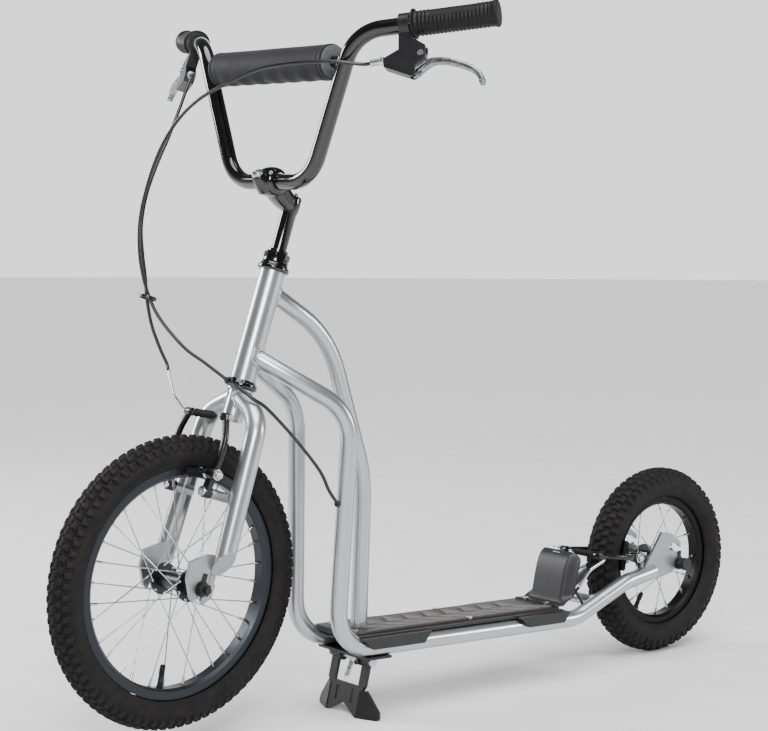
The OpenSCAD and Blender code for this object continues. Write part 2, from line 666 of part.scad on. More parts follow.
module pivot_bolts(arm_x) for (s = [-1, 1]) left_right(s) translate([0, pivot_y, 0]) difference() {
  union() {
    x_rod(2.5, arm_x - 6, arm_x + arm_t + gap);
    x_rod(6.5, arm_x + arm_t + gap, arm_x + arm_t + 4);
  }
  translate([arm_x + arm_t + 2, 0, 0]) rotate([0, 90, 0]) cylinder(h = 5, r = 2.9, $fn = 6);
}
module brake_boot(arm_x) translate([arm_x + arm_t / 2, 0, arm_reach]) {
  difference() {
    y_rod(5, -27, 20);
    y_rod(2.4, -28, -16);
  }
  y_rod(0.9, 20, 47.8);
  translate([0, 47.8, 0]) rotate([-90, 0, 0]) cylinder(h = 4, r = 5, $fn = 6);
}
front_noodle_line = [[0, -17, 0], [0, -52, 0], [0, -86, 20], [0, -112, 52]];
rear_noodle_line = [[0, -17, 0], [0, -62, 0], [-22, -56, 34], [-50, -44, 42]];
module brake_noodle(arm_x, line, bends) translate([arm_x + arm_t / 2, 0, arm_reach])
  pipe(line, bends, 2.2, 0.9);
module front_arm_left() color(gloss_black) front_brake() brake_arm(front_arm_x);
module front_arm_right() color(gloss_black) front_brake() mirror([0, 1, 0]) brake_arm(front_arm_x);
module front_pad_left() color(matte_black) front_brake() brake_pad(front_arm_x, front_rim_half, 9);
module front_pad_right() color(matte_black) front_brake() mirror([0, 1, 0])
  brake_pad(front_arm_x, front_rim_half, 9);
module front_pivot_bolts() color(steel) front_brake() pivot_bolts(front_arm_x);
module front_boot() color(rubber) front_brake() brake_boot(front_arm_x);
module front_noodle() color(steel) front_brake() brake_noodle(front_arm_x, front_noodle_line, [20, 26]);
module rear_arm_right() color(gloss_black) rear_brake() brake_arm(rear_arm_x);
module rear_arm_left() color(gloss_black) rear_brake() mirror([0, 1, 0]) brake_arm(rear_arm_x);
module rear_pad_right() color(matte_black) rear_brake() brake_pad(rear_arm_x, rear_rim_half, 3);
module rear_pad_left() color(matte_black) rear_brake() mirror([0, 1, 0])
  brake_pad(rear_arm_x, rear_rim_half, 3);
module rear_pivot_bolts() color(steel) rear_brake() pivot_bolts(rear_arm_x);
module rear_boot() color(rubber) rear_brake() brake_boot(rear_arm_x);
module rear_noodle() color(steel) rear_brake() brake_noodle(rear_arm_x, rear_noodle_line, [14, 16]);

// ---- wheels, in a frame with Y along the axle ----
module ring(outline) rotate([-90, 0, 0]) rotate_extrude() polygon(outline);
module tyre(r, w, bead_r) {
  c = r - w / 2;
  rotate([-90, 0, 0]) rotate_extrude() difference() {
    translate([c, 0]) circle(w / 2);
    translate([c, 0]) circle(w / 2 - 3.5);
    translate([0, -50]) square([bead_r, 100]);
  }
}
module rim(r, r_in, half) ring([
  [r_in, -half + 4], [r_in + 4, -half], [r, -half], [r, -half + 1.6], [r - 6, -half + 1.6], [r - 8, -half + 4],
  [r - 8, half - 4], [r - 6, half - 1.6], [r, half - 1.6], [r, half], [r_in + 4, half], [r_in, half - 4]
]);
module valve(r_in, angle) rotate([0, angle, 0]) {
  x_rod(2.6, r_in - 30, r_in - 13);
  x_rod(3.8, r_in - 14, r_in + 2);
}
module spokes(count, r_in, flange_y, lace) for (i = [0:count - 1]) {
  a = 360 * i / count;
  side = i % 2 == 0 ? 1 : -1;
  lead = floor(i / 2) % 2 == 0 ? 1 : -1;
  hub_end = [(flange_r - 3) * cos(a + lead * lace), side * (flange_y + lead * 1.6),
    (flange_r - 3) * sin(a + lead * lace)];
  rim_end = [(r_in + 0.5) * cos(a), side * 3, (r_in + 0.5) * sin(a)];
  seg(hub_end, rim_end, 0.9);
  seg(rim_end + unit(hub_end - rim_end) * 12, rim_end, 1.9);
}
module hub(flange_y, half) difference() {
  union() {
    y_rod(hub_r, -flange_y, flange_y);
    for (s = [-1, 1]) left_right(s) {
      y_rod(flange_r, flange_y - 1.6, flange_y + 1.6);
      y_rod(14, flange_y, flange_y + 7);
    }
  }
  y_rod(axle_r + run_fit, -half, half);
}
module axle_set(drop_y, flange_y, cover) {
  y_rod(axle_r, -drop_y - drop_t - 16, drop_y + drop_t + 16);
  for (s = [-1, 1]) left_right(s) {
    difference() {
      y_rod(8, flange_y + 7 + gap, drop_y);
      y_rod(axle_r, 0, 90);
    }
    difference() {
      union() {
        y_rod(11, drop_y + drop_t, drop_y + drop_t + 2);
        translate([-3, drop_y + drop_t, 6]) cube([6, 2, 15]);
      }
      y_rod(axle_r, 0, 90);
    }
    difference() {
      translate([0, drop_y + drop_t + 2, 0]) rotate([-90, 0, 0]) cylinder(h = 9, r = 9.2, $fn = 6);
      y_rod(axle_r, 0, 90);
    }
    if (cover) difference() {
      y_rod(10.5, drop_y + drop_t + 11, drop_y + drop_t + 19);
      y_rod(axle_r, 0, drop_y + drop_t + 16);
    }
  }
}
front_flange_y = 29;
rear_flange_y = 27;
module front_tyre() color(rubber) front_wheel() tyre(front_tyre_r, front_tyre_w, front_rim_r + 0.01);
module front_rim() color("#4a4d52") front_wheel() {
  rim(front_rim_r, front_rim_in, front_rim_half);
  valve(front_rim_in, 98);
}
module front_spokes() color(steel) front_wheel() spokes(front_spoke_count, front_rim_in, front_flange_y, 52);
module front_hub() color(gloss_black) front_wheel() hub(front_flange_y, 60);
module front_axle() color(matte_black) front_wheel() axle_set(front_drop_y, front_flange_y, false);
module rear_tyre() color(rubber) rear_wheel() tyre(rear_tyre_r, rear_tyre_w, rear_rim_r + 0.01);
module rear_rim() color(matte_black) rear_wheel() {
  rim(rear_rim_r, rear_rim_in, rear_rim_half);
  valve(rear_rim_in, 60);
}
module rear_spokes() color(steel) rear_wheel() spokes(rear_spoke_count, rear_rim_in, rear_flange_y, 40);
module rear_hub() color(gloss_black) rear_wheel() hub(rear_flange_y, 60);
module rear_axle() color(matte_black) rear_wheel() axle_set(rear_drop_y, rear_flange_y, true);

head_tube();
top_tube();
side_tube_left();
side_tube_right();
frame_bridges();
rear_dropouts();
deck_board();
deck_screws();
rear_guard();
headset_cups();
cable_guides();
stand_bracket();
stand_pin();
rear_axle();
rear_pivot_bolts();
fork_steerer();
fork_leg_left();
fork_leg_right();
fork_fittings();
headset_locknut();
stem();
stem_bolts();
handlebar();
crossbar();
bar_pad();
grip_left();
grip_right();
lever_bracket_left();
lever_bracket_right();
lever_screws();
lever_barrels();
front_cable();
rear_cable();
cable_tie();
front_pivot_bolts();
front_axle();
lever_blade_left();
lever_blade_right();
front_arm_left();
front_arm_right();
front_pad_left();
front_pad_right();
front_noodle();
front_boot();
rear_arm_left();
rear_arm_right();
rear_pad_left();
rear_pad_right();
rear_noodle();
rear_boot();
front_tyre();
front_rim();
front_spokes();
front_hub();
rear_tyre();
rear_rim();
rear_spokes();
rear_hub();
stand_legs();
stand_spring();
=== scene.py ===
"""Kick scooter on its centre stand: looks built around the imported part.

Lengths below are millimetres in the same frames as the part's own design, and become metres
in place(). X is forward, Y the rider's left, Z up.
"""

import bpy
import numpy as np
from mathutils import Matrix


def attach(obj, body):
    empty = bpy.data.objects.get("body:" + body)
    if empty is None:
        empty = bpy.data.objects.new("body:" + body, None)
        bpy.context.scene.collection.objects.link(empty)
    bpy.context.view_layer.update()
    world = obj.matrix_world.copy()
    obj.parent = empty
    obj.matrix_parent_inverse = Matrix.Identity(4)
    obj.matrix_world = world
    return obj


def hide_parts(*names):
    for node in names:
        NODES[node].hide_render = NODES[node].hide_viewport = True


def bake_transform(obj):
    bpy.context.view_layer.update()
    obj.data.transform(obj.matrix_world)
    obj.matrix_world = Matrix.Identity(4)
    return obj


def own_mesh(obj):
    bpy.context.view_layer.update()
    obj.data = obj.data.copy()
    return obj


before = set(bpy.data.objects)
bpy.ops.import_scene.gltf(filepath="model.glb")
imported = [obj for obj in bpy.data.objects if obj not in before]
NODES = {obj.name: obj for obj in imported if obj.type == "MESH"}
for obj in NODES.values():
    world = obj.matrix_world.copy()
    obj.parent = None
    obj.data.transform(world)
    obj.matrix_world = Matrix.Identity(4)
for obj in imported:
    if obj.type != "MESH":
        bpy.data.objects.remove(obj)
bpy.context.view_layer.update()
MM = 0.001
SIDES = ((1, "left"), (-1, "right"))
FRAME_TUBE, HEAD_TUBE, FORK_LEG, STEERER, BAR = 12.7, 18, 14, 15, 11.1  # outer radii
RAIL = 50  # from the middle to each deck rail
PAD_POST, ARM_TIP = 25, 104  # heights on a brake arm above its pivot


# ---- frames of the scooter's groups, as 4x4 arrays ----
def shift(x, y, z):
    """A move by x, y, z."""
    m = np.eye(4)
    m[:3, 3] = x, y, z
    return m


def turned(axis, degrees):
    """A turn about one of the axes, right-handed."""
    c, s = np.cos(np.radians(degrees)), np.sin(np.radians(degrees))
    m = np.eye(4)
    a, b = {"X": (1, 2), "Y": (2, 0), "Z": (0, 1)}[axis]
    m[a, a], m[a, b], m[b, a], m[b, b] = c, -s, s, c
    return m


def axes_at(origin, x, y, z):
    """The frame with these three axes at that origin."""
    m = np.eye(4)
    m[:3, 0], m[:3, 1], m[:3, 2], m[:3, 3] = x, y, z, origin
    return m


def unit(v):
    """v at length 1."""
    v = np.asarray(v, float)
    return v / np.linalg.norm(v, axis=-1, keepdims=True)


LEVEL = shift(-501.5, 0, 157) @ turned("Y", -1.5) @ shift(479, 0, -157)
HEAD = LEVEL @ shift(479, 0, 202) @ turned("Y", -17) @ shift(-18, 0, 0)
FORK = HEAD @ turned("Z", 5.6)
FRONT_WHEEL = FORK @ shift(18, 0, 0)
REAR_WHEEL = LEVEL @ shift(-479, 0, 157)
FRONT_BRAKE = FORK @ shift(0, 0, 126)
LEAN = np.radians(6)
REAR_BRAKE = LEVEL @ axes_at(
    (-402, 0, 158), (-np.sin(LEAN), 0, np.cos(LEAN)), (0, -1, 0), (np.cos(LEAN), 0, np.sin(LEAN))
)
STAND_PIN = LEVEL @ shift(172, 0, 64)
MIRROR = np.diag([1.0, -1.0, 1.0, 1.0])

BAR_LOW, BAR_HIGH, BAR_END = (np.array(p, float) for p in ((45, 82, 566), (104, 160, 754), (22, 326, 805)))
BAR_OUT = unit(BAR_END - BAR_HIGH)
BAR_UP = unit(np.array([0, 0, 1]) - BAR_OUT * BAR_OUT[2])
BAR_STRAIGHT = float(np.linalg.norm(BAR_END - BAR_HIGH))


LEVER = 70  # from the bend of the bar to the lever's middle


def on_bar(along, side):
    """The frame on a straight end of the handlebar: X outwards, Z up."""
    m = axes_at(BAR_HIGH + BAR_OUT * along, BAR_OUT, np.cross(BAR_UP, BAR_OUT), BAR_UP)
    return FORK @ (m if side > 0 else MIRROR @ m)


def place(points, at):
    """Points in millimetres of the frame at, as metres of the row frame."""
    p = np.asarray(points, float)
    return (p @ at[:3, :3].T + at[:3, 3]) * MM


# ---- surfaces ----
def smoothstep(lo, hi, x):
    """0 below lo, 1 above hi, and a smooth rise between."""
    t = np.clip((x - lo) / (hi - lo), 0, 1)
    return t * t * (3 - 2 * t)


def grid_shell(grid, along=False):
    """Quads over a grid of points whose second direction runs round; along closes the first
    direction too, and without it each end is closed by one flat face."""
    n, m = grid.shape[:2]
    idx = np.arange(n * m).reshape(n, m)
    a, b = (idx, np.roll(idx, -1, 0)) if along else (idx[:-1], idx[1:])
    faces = np.stack([a, b, np.roll(b, -1, 1), np.roll(a, -1, 1)], -1).reshape(-1, 4).tolist()
    if not along:
        faces += [idx[0, ::-1].tolist(), idx[-1].tolist()]
    return grid.reshape(-1, 3), faces


def prism(outline, low, high):
    """An outline in the XZ plane, given thickness along Y from low to high."""
    o = np.asarray(outline, float)
    p = np.zeros((2, len(o), 3))
    p[:, :, 0], p[:, :, 2] = o[:, 0], o[:, 1]
    p[0, :, 1], p[1, :, 1] = low, high
    return grid_shell(p)


def sweep(line, half_a, half_b, reference, sides=20, power=2.0, closed=False):
    """A section carried along a line: an ellipse, or a rounded box for a higher power, half_a wide
    across the reference direction and half_b along it. The sizes may change along the line."""
    line = np.asarray(line, float)
    t = unit(np.roll(line, -1, 0) - np.roll(line, 1, 0) if closed else np.gradient(line, axis=0))
    ref = np.broadcast_to(np.asarray(reference, float), t.shape)
    side = unit(np.cross(t, ref))
    up = np.cross(side, t)
    q = np.linspace(0, 2 * np.pi, sides, endpoint=False)
    c = np.sign(np.cos(q)) * np.abs(np.cos(q)) ** (2 / power)
    s = np.sign(np.sin(q)) * np.abs(np.sin(q)) ** (2 / power)
    a = np.broadcast_to(np.asarray(half_a, float), (len(line),))[:, None, None]
    b = np.broadcast_to(np.asarray(half_b, float), (len(line),))[:, None, None]
    around = side[:, None, :] * a * c[None, :, None] + up[:, None, :] * b * s[None, :, None]
    return line[:, None, :] + around


def rod(line, radius, reference, sides):
    """A round bar along a line of points."""
    return grid_shell(sweep(line, radius, radius, reference, sides))


def lathe(profile, axis, sides, hollow=False):
    """A profile of (place along the axis, radius) turned round that axis. Each end is closed by a
    flat face, or a hollow one is closed by a bore between its first and last radius."""
    p = np.asarray(profile, float)
    q = np.linspace(0, 2 * np.pi, sides, endpoint=False)
    g = np.zeros((len(p), sides, 3))
    along, u, v = {"X": (0, 1, 2), "Y": (1, 2, 0), "Z": (2, 0, 1)}[axis]
    g[:, :, along] = p[:, :1]
    g[:, :, u], g[:, :, v] = p[:, 1:] * np.cos(q), p[:, 1:] * np.sin(q)
    return grid_shell(g, along=hollow)


def moved(shell, at):
    """A shell in another frame, still in millimetres."""
    p, faces = shell
    return p @ at[:3, :3].T + at[:3, 3], faces


def rounded(points, radii, step=5.0):
    """A line through the points whose inner corners are arcs of these radii: each arc starts the
    same length before and after its corner, and is cut every few degrees."""
    p = np.asarray(points, float)
    out = [p[:1]]
    for i in range(1, len(p) - 1):
        u, v = unit(p[i] - p[i - 1]), unit(p[i + 1] - p[i])
        angle = np.arccos(np.clip(u @ v, -1, 1))
        back = radii[i - 1] * np.tan(angle / 2)
        toward = unit(v - u * (u @ v))
        q = np.linspace(0, angle, max(3, int(np.degrees(angle) / step) + 1))[:, None]
        out.append(p[i] - u * back + radii[i - 1] * (u * np.sin(q) + toward * (1 - np.cos(q))))
    out.append(p[-1:])
    return np.concatenate(out)


def finer(line, step):
    """The same line with points no further apart than step."""
    line = np.asarray(line, float)
    s = np.concatenate([[0], np.cumsum(np.linalg.norm(np.diff(line, axis=0), axis=1))])
    extra = np.concatenate([np.arange(0, s[-1], step), s])
    q = np.unique(np.round(extra, 4))
    q = q[np.concatenate([[True], np.diff(q) > step * 0.2])]
    return np.stack([np.interp(q, s, line[:, k]) for k in range(line.shape[1])], 1)


def smooth_line(points, k=6):
    """A Catmull-Rom curve through the points, k steps to each stretch."""
    p = np.asarray(points, float)
    e = np.concatenate([p[:1], p, p[-1:]])
    t = (np.arange(k) / k)[None, :, None]
    a, b, c, d = (e[i : len(e) - 3 + i, None, :] for i in range(4))
    q = 0.5 * (2 * b + (c - a) * t + (2 * a - 5 * b + 4 * c - d) * t**2 + (3 * b - a - 3 * c + d) * t**3)
    return np.concatenate([q.reshape(-1, p.shape[1]), p[-1:]])


def outwards(points, faces):
    """Faces turned so that the shell's volume is positive."""
    p = np.asarray(points)
    volume = sum(
        float(np.einsum("ij,ij->i", np.cross(p[f[:, 0]], p[f[:, k]]), p[f[:, k + 1]]).sum())
        for f in (np.array([x for x in faces if len(x) == n]) for n in {len(x) for x in faces})
        for k in range(1, f.shape[1] - 1)
    )
    return faces if volume > 0 else [f[::-1] for f in faces]


def into_scene(name, data):
    """An object of that data, linked into the scene."""
    made = bpy.data.objects.new(name, data)
    bpy.context.scene.collection.objects.link(made)
    return made


def piece(name, shells, at, finish, body, stands_for=(), sharp=38):
    """One named mesh from closed shells in the frame at, riding on a body."""
    points, faces, base = [], [], 0
    for p, f in shells:
        p = place(p, at)
        f = outwards(p, f)
        points.append(p)
        faces += [[i + base for i in x] for x in f]
        base += len(p)
    mesh = bpy.data.meshes.new(name)
    mesh.from_pydata(np.concatenate(points).tolist(), [], faces)
    mesh.polygons.foreach_set("use_smooth", np.ones(len(mesh.polygons), bool))
    mesh.set_sharp_from_angle(angle=np.radians(sharp))
    mesh.materials.append(finish)
    made = into_scene(name, mesh)
    if body:
        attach(made, body)
    if stands_for:
        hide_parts(*stands_for)
    return made


def rounded_edges(made, width, segments=2, angle=40):
    """A Bevel modifier of that width in millimetres on a piece's sharp edges."""
    b = made.modifiers.new("rounded edges", "BEVEL")
    b.width, b.segments, b.limit_method, b.angle_limit = width * MM, segments, "ANGLE", np.radians(angle)
    return made


# ---- finishes ----
def linear(code):
    """An sRGB hex colour as the linear numbers a shader wants."""
    c = np.array([int(code[i : i + 2], 16) for i in (1, 3, 5)]) / 255
    return (*np.where(c <= 0.04045, c / 12.92, ((c + 0.055) / 1.055) ** 2.4), 1.0)


def put(tree, kind, values=None, links=None, **settings):
    """Adds a node with its settings, socket values and incoming links."""
    made = tree.nodes.new(kind)
    for name, value in settings.items():
        setattr(made, name, value)
    for name, value in (values or {}).items():
        made.inputs[name].default_value = value
    for name, (source, out) in (links or {}).items():
        tree.links.new(source.outputs[out], made.inputs[name])
    return made


def begin(name, **sockets):
    """A new material: its node tree, its shader and the object's own coordinates."""
    made = bpy.data.materials.new(name)
    made.use_nodes = True
    tree = made.node_tree
    shader = tree.nodes["Principled BSDF"]
    for socket, value in sockets.items():
        shader.inputs[socket.replace("_", " ")].default_value = value
    place_on = put(tree, "ShaderNodeTexCoord")
    return made, tree, shader, place_on


def two_tone(tree, shader, pattern, low, high, start=0.3, end=0.7):
    """Base colour that runs between two hex colours as a pattern does."""
    ramp = put(tree, "ShaderNodeValToRGB", links={"Fac": pattern})
    ramp.color_ramp.elements[0].position, ramp.color_ramp.elements[0].color = start, linear(low)
    ramp.color_ramp.elements[1].position, ramp.color_ramp.elements[1].color = end, linear(high)
    tree.links.new(ramp.outputs["Color"], shader.inputs["Base Color"])


def uneven(tree, shader, pattern, low, high):
    """Roughness between two values as a pattern does."""
    r = put(tree, "ShaderNodeMapRange", {"To Min": low, "To Max": high}, {"Value": pattern})
    tree.links.new(r.outputs["Result"], shader.inputs["Roughness"])


def relief(tree, shader, pattern, depth, strength=1.0, corner=0.5):
    """Bump of that depth in millimetres over edges softened by that many millimetres."""
    soft = put(tree, "ShaderNodeBevel", {"Radius": corner * MM}, samples=4)
    b = put(
        tree, "ShaderNodeBump", {"Strength": strength, "Distance": depth * MM},
        {"Height": pattern, "Normal": (soft, "Normal")},
    )
    tree.links.new(b.outputs["Normal"], shader.inputs["Normal"])


def grain(tree, place_on, size, detail=3.0, roughness=0.5):
    """Noise whose blotches are about size millimetres across, and its output."""
    return put(
        tree, "ShaderNodeTexNoise", {"Scale": 1000 / size, "Detail": detail, "Roughness": roughness},
        {"Vector": (place_on, "Object")},
    ), "Fac"


def metallic_paint(name, low, high, roughness=0.34):
    """Sprayed metallic lacquer: aluminium flake under a thin clear coat, so a soft bright sheen
    with a slight orange peel. Real flake is 0.05 mm; it is drawn at 1.2 mm so that it shows."""
    made, tree, shader, on = begin(name, Metallic=0.92, Coat_Weight=0.3, Coat_Roughness=0.12)
    two_tone(tree, shader, grain(tree, on, 1.2, 2), low, high, 0.35, 0.65)
    uneven(tree, shader, grain(tree, on, 60), roughness - 0.05, roughness + 0.07)
    relief(tree, shader, grain(tree, on, 3.0, 1), 0.02, 0.5)
    return made


def gloss_paint(name, low, high, roughness=0.09):
    """Stoved gloss enamel: deep black with mirror-like streaks and faint orange peel of 4 mm."""
    made, tree, shader, on = begin(name, Coat_Weight=0.6, Coat_Roughness=0.05)
    two_tone(tree, shader, grain(tree, on, 25), low, high)
    uneven(tree, shader, grain(tree, on, 15), roughness, roughness + 0.1)
    relief(tree, shader, grain(tree, on, 4.0, 1), 0.01, 0.35)
    return made


def powder_coat(name, low, high, roughness=0.42, size=0.9):
    """Baked powder: a fine pebbled satin skin. The pebble is 0.3 mm and is drawn at
    0.9 mm, or at 1.4 to 1.6 mm where enamel is smoother."""
    made, tree, shader, on = begin(name)
    two_tone(tree, shader, grain(tree, on, 9), low, high)
    uneven(tree, shader, grain(tree, on, 6), roughness - 0.06, roughness + 0.1)
    relief(tree, shader, grain(tree, on, size, 2), 0.05, 0.5)
    return made


def plated_steel(name, low, high, roughness=0.24):
    """Zinc-plated or stainless wire and bolts: bright, with reflections clouded in patches of
    3 to 5 mm and drawing marks of 0.1 mm that are drawn at 1.5 mm."""
    made, tree, shader, on = begin(name, Metallic=1.0)
    two_tone(tree, shader, grain(tree, on, 5), low, high)
    uneven(tree, shader, grain(tree, on, 3), roughness - 0.08, roughness + 0.12)
    relief(tree, shader, grain(tree, on, 1.5), 0.015, 0.4, 0.3)
    return made


def cast_alloy(name, low, high, roughness=0.3):
    """Polished cast aluminium: soft long highlights and the waviness of hand buffing, 6 mm long."""
    made, tree, shader, on = begin(name, Metallic=1.0)
    two_tone(tree, shader, grain(tree, on, 8), low, high)
    uneven(tree, shader, grain(tree, on, 4), roughness - 0.07, roughness + 0.09)
    relief(tree, shader, grain(tree, on, 6, 1), 0.06, 0.4)
    return made


def anodised_rim(name, low, high, wheel, roughness=0.36):
    """Anodised aluminium extrusion: satin, with faint lines all the way round from rolling. The
    lines are 0.4 mm apart and are drawn 1.7 mm apart."""
    made, tree, shader, on = begin(name, Metallic=0.75)
    centred = put(tree, "ShaderNodeMapping", links={"Vector": (on, "Object")}, vector_type="POINT")
    centred.inputs["Location"].default_value = (-wheel[:3, 3] * MM).tolist()
    away = put(tree, "ShaderNodeVectorMath", links={0: (centred, "Vector")}, operation="LENGTH")
    rings = put(
        tree, "ShaderNodeTexNoise", {"Scale": 600.0, "Detail": 2.0}, {"W": (away, "Value")},
        noise_dimensions="1D",
    )
    two_tone(tree, shader, (rings, "Fac"), low, high)
    uneven(tree, shader, grain(tree, on, 12), roughness - 0.05, roughness + 0.08)
    relief(tree, shader, (rings, "Fac"), 0.03, 0.4)
    return made


def moulded(name, low, high, roughness=0.45, size=1.4, depth=0.06):
    """Injection-moulded nylon or ABS with a spark-eroded grain of 0.1 mm, drawn at 1 to 1.4 mm."""
    made, tree, shader, on = begin(name)
    two_tone(tree, shader, grain(tree, on, 14), low, high)
    uneven(tree, shader, grain(tree, on, 5), roughness - 0.07, roughness + 0.08)
    relief(tree, shader, grain(tree, on, size, 2), depth, 0.5)
    return made


def rubber(name, low, high, roughness=0.68, dust=18, size=1.1):
    """Vulcanised rubber: dull, with a dusty bloom in blotches of 8 to 18 mm and a moulded skin
    whose 0.2 mm grain is drawn at 1.1 mm."""
    made, tree, shader, on = begin(name, Specular_IOR_Level=0.25)
    two_tone(tree, shader, grain(tree, on, dust, 5, 0.6), low, high, 0.35, 0.72)
    uneven(tree, shader, grain(tree, on, dust * 0.6), roughness - 0.08, roughness + 0.14)
    relief(tree, shader, grain(tree, on, size, 3), 0.08, 0.5)
    return made


def woven_nylon(name, low, high):
    """Coated nylon cloth over foam. The threads are 0.5 mm apart and are drawn 2.6 mm apart so
    that the weave shows: two sets of fine lines, one along the pad and one round it; the dips
    between the threads are painted darker, as painted shade."""
    made, tree, shader, on = begin(name, Specular_IOR_Level=0.25, Sheen_Weight=0.08, Sheen_Roughness=0.4)
    uv = put(tree, "ShaderNodeUVMap", uv_map="cloth")
    warp, weft = (
        put(
            tree, "ShaderNodeTexWave", {"Scale": 1.0, "Distortion": 0.6, "Detail": 1.0},
            {"Vector": (uv, "UV")}, wave_type="BANDS", bands_direction=way,
        )
        for way in "XY"
    )
    both = put(tree, "ShaderNodeMath", links={0: (warp, "Fac"), 1: (weft, "Fac")}, operation="MAXIMUM")
    # The low spots between the threads are painted darker: painted shade in the weave.
    two_tone(tree, shader, (both, "Value"), low, high, 0.1, 1.0)
    uneven(tree, shader, grain(tree, on, 22), 0.55, 0.78)
    relief(tree, shader, (both, "Value"), 0.12, 0.5)
    return made


def foam(name, low, high):
    """Closed-cell foam cut with a knife: matt with open bubbles 1.4 mm across, whose hollows are painted
    darker as painted shade.
    """
    made, tree, shader, on = begin(name, Roughness=0.9, Specular_IOR_Level=0.2)
    cells = put(tree, "ShaderNodeTexVoronoi", {"Scale": 700.0}, {"Vector": (on, "Object")})
    # The bubble pits are painted darker than the cell walls: painted shade in the hollows.
    two_tone(tree, shader, (cells, "Distance"), low, high, 0.1, 0.7)
    relief(tree, shader, (cells, "Distance"), 0.25, 0.7)
    return made


def cable_sleeve(name, low, high):
    """Extruded PVC over a steel coil: smooth and slightly shiny, ridged faintly by the
    coil, whose 1.2 mm wire is drawn as bumps of 1.6 mm."""
    made, tree, shader, on = begin(name, Coat_Weight=0.1, Coat_Roughness=0.2)
    two_tone(tree, shader, grain(tree, on, 30), low, high)
    uneven(tree, shader, grain(tree, on, 10), 0.28, 0.42)
    relief(tree, shader, grain(tree, on, 1.6, 1), 0.04, 0.4, 0.2)
    return made


SILVER = metallic_paint("silver_metallic_lacquer", "#b0b3b7", "#c2c4c7", 0.3)
PLATE = metallic_paint("grey_lacquered_plate", "#94979a", "#a9acb0", 0.42)
BEAD = metallic_paint("lacquered_weld", "#a4a7ab", "#c3c5c8", 0.3)
ENAMEL = gloss_paint("black_gloss_enamel", "#030304", "#060607")
POWDER = powder_coat("black_powder_coat", "#08080a", "#101012")
HUB_BLACK = powder_coat("black_hub_enamel", "#060607", "#0e0e10", 0.3, 1.6)
ZINC = plated_steel("zinc_plated_steel", "#a9acb1", "#d3d5d8")
SPOKE = plated_steel("stainless_wire", "#a2a5aa", "#cfd2d6", 0.2)
BUFFED = cast_alloy("buffed_cast_alloy", "#7d8186", "#a2a6ab")
BRIGHT = cast_alloy("bright_alloy", "#b4b7bb", "#dadcde", 0.2)
RIM_GREY = anodised_rim("grey_anodised_rim", "#26292d", "#353a40", FRONT_WHEEL)
RIM_BLACK = anodised_rim("black_anodised_rim", "#0b0b0c", "#131315", REAR_WHEEL)
NYLON = moulded("black_moulded_nylon", "#08080a", "#101013", 0.34)
GUARD = moulded("black_guard_plastic", "#131316", "#1b1b1f", 0.5, 1.0, 0.1)
DECK = moulded("brown_grey_deck_plastic", "#151415", "#1e1c1c", 0.5, 1.2, 0.12)
# The raised deck pattern is painted much lighter than the deck: a painted highlight where light catches its
# raised faces.
DECK_RAISED_HIGHLIGHT = moulded("raised_deck_painted_highlight", "#4f4a48", "#5f5956", 0.6, 1.2, 0.12)
TYRE = rubber("tyre_rubber", "#0a0909", "#191615")
GRIP = rubber("grip_rubber", "#09090a", "#131315", 0.5, 10)
BLOCK = rubber("brake_block_rubber", "#080809", "#111112", 0.6, 8)
SLEEVE = cable_sleeve("black_cable_sleeve", "#070708", "#0f0f11")
ARM_BLACK = powder_coat("black_cast_arm", "#060607", "#0e0e10", 0.26, 1.4)
CLOTH = woven_nylon("coated_nylon_cloth", "#0a0a0c", "#17171b")
FOAM = foam("grey_cut_foam", "#3c3d42", "#5a5c62")


# ---- CAD nodes that keep their shape ----
for finish, names in (
    (SILVER, "head_tube frame_bridges fork_steerer"),
    (PLATE, "rear_dropouts fork_fittings"),
    (ENAMEL, "crossbar"),
    (POWDER, "stand_bracket stand_legs front_axle rear_axle"),
    (HUB_BLACK, "front_hub rear_hub"),
    (ZINC, "deck_screws stand_pin lever_screws front_pivot_bolts rear_pivot_bolts"),
    (SPOKE, "front_spokes rear_spokes"),
    (BRIGHT, "front_noodle rear_noodle lever_barrels"),
    (RIM_GREY, "front_rim"),
    (RIM_BLACK, "rear_rim"),
    (NYLON, "cable_guides cable_tie lever_bracket_left lever_bracket_right"),
    (DECK, "deck_board"),
):
    for name in names.split():
        NODES[name].data.materials.clear()
        NODES[name].data.materials.append(finish)


# ---- tyres ----
def block(x, low, high, edge):
    """1 between low and high with soft edges, 0 outside."""
    return smoothstep(low - edge, low + edge, x) * (1 - smoothstep(high - edge, high + edge, x))


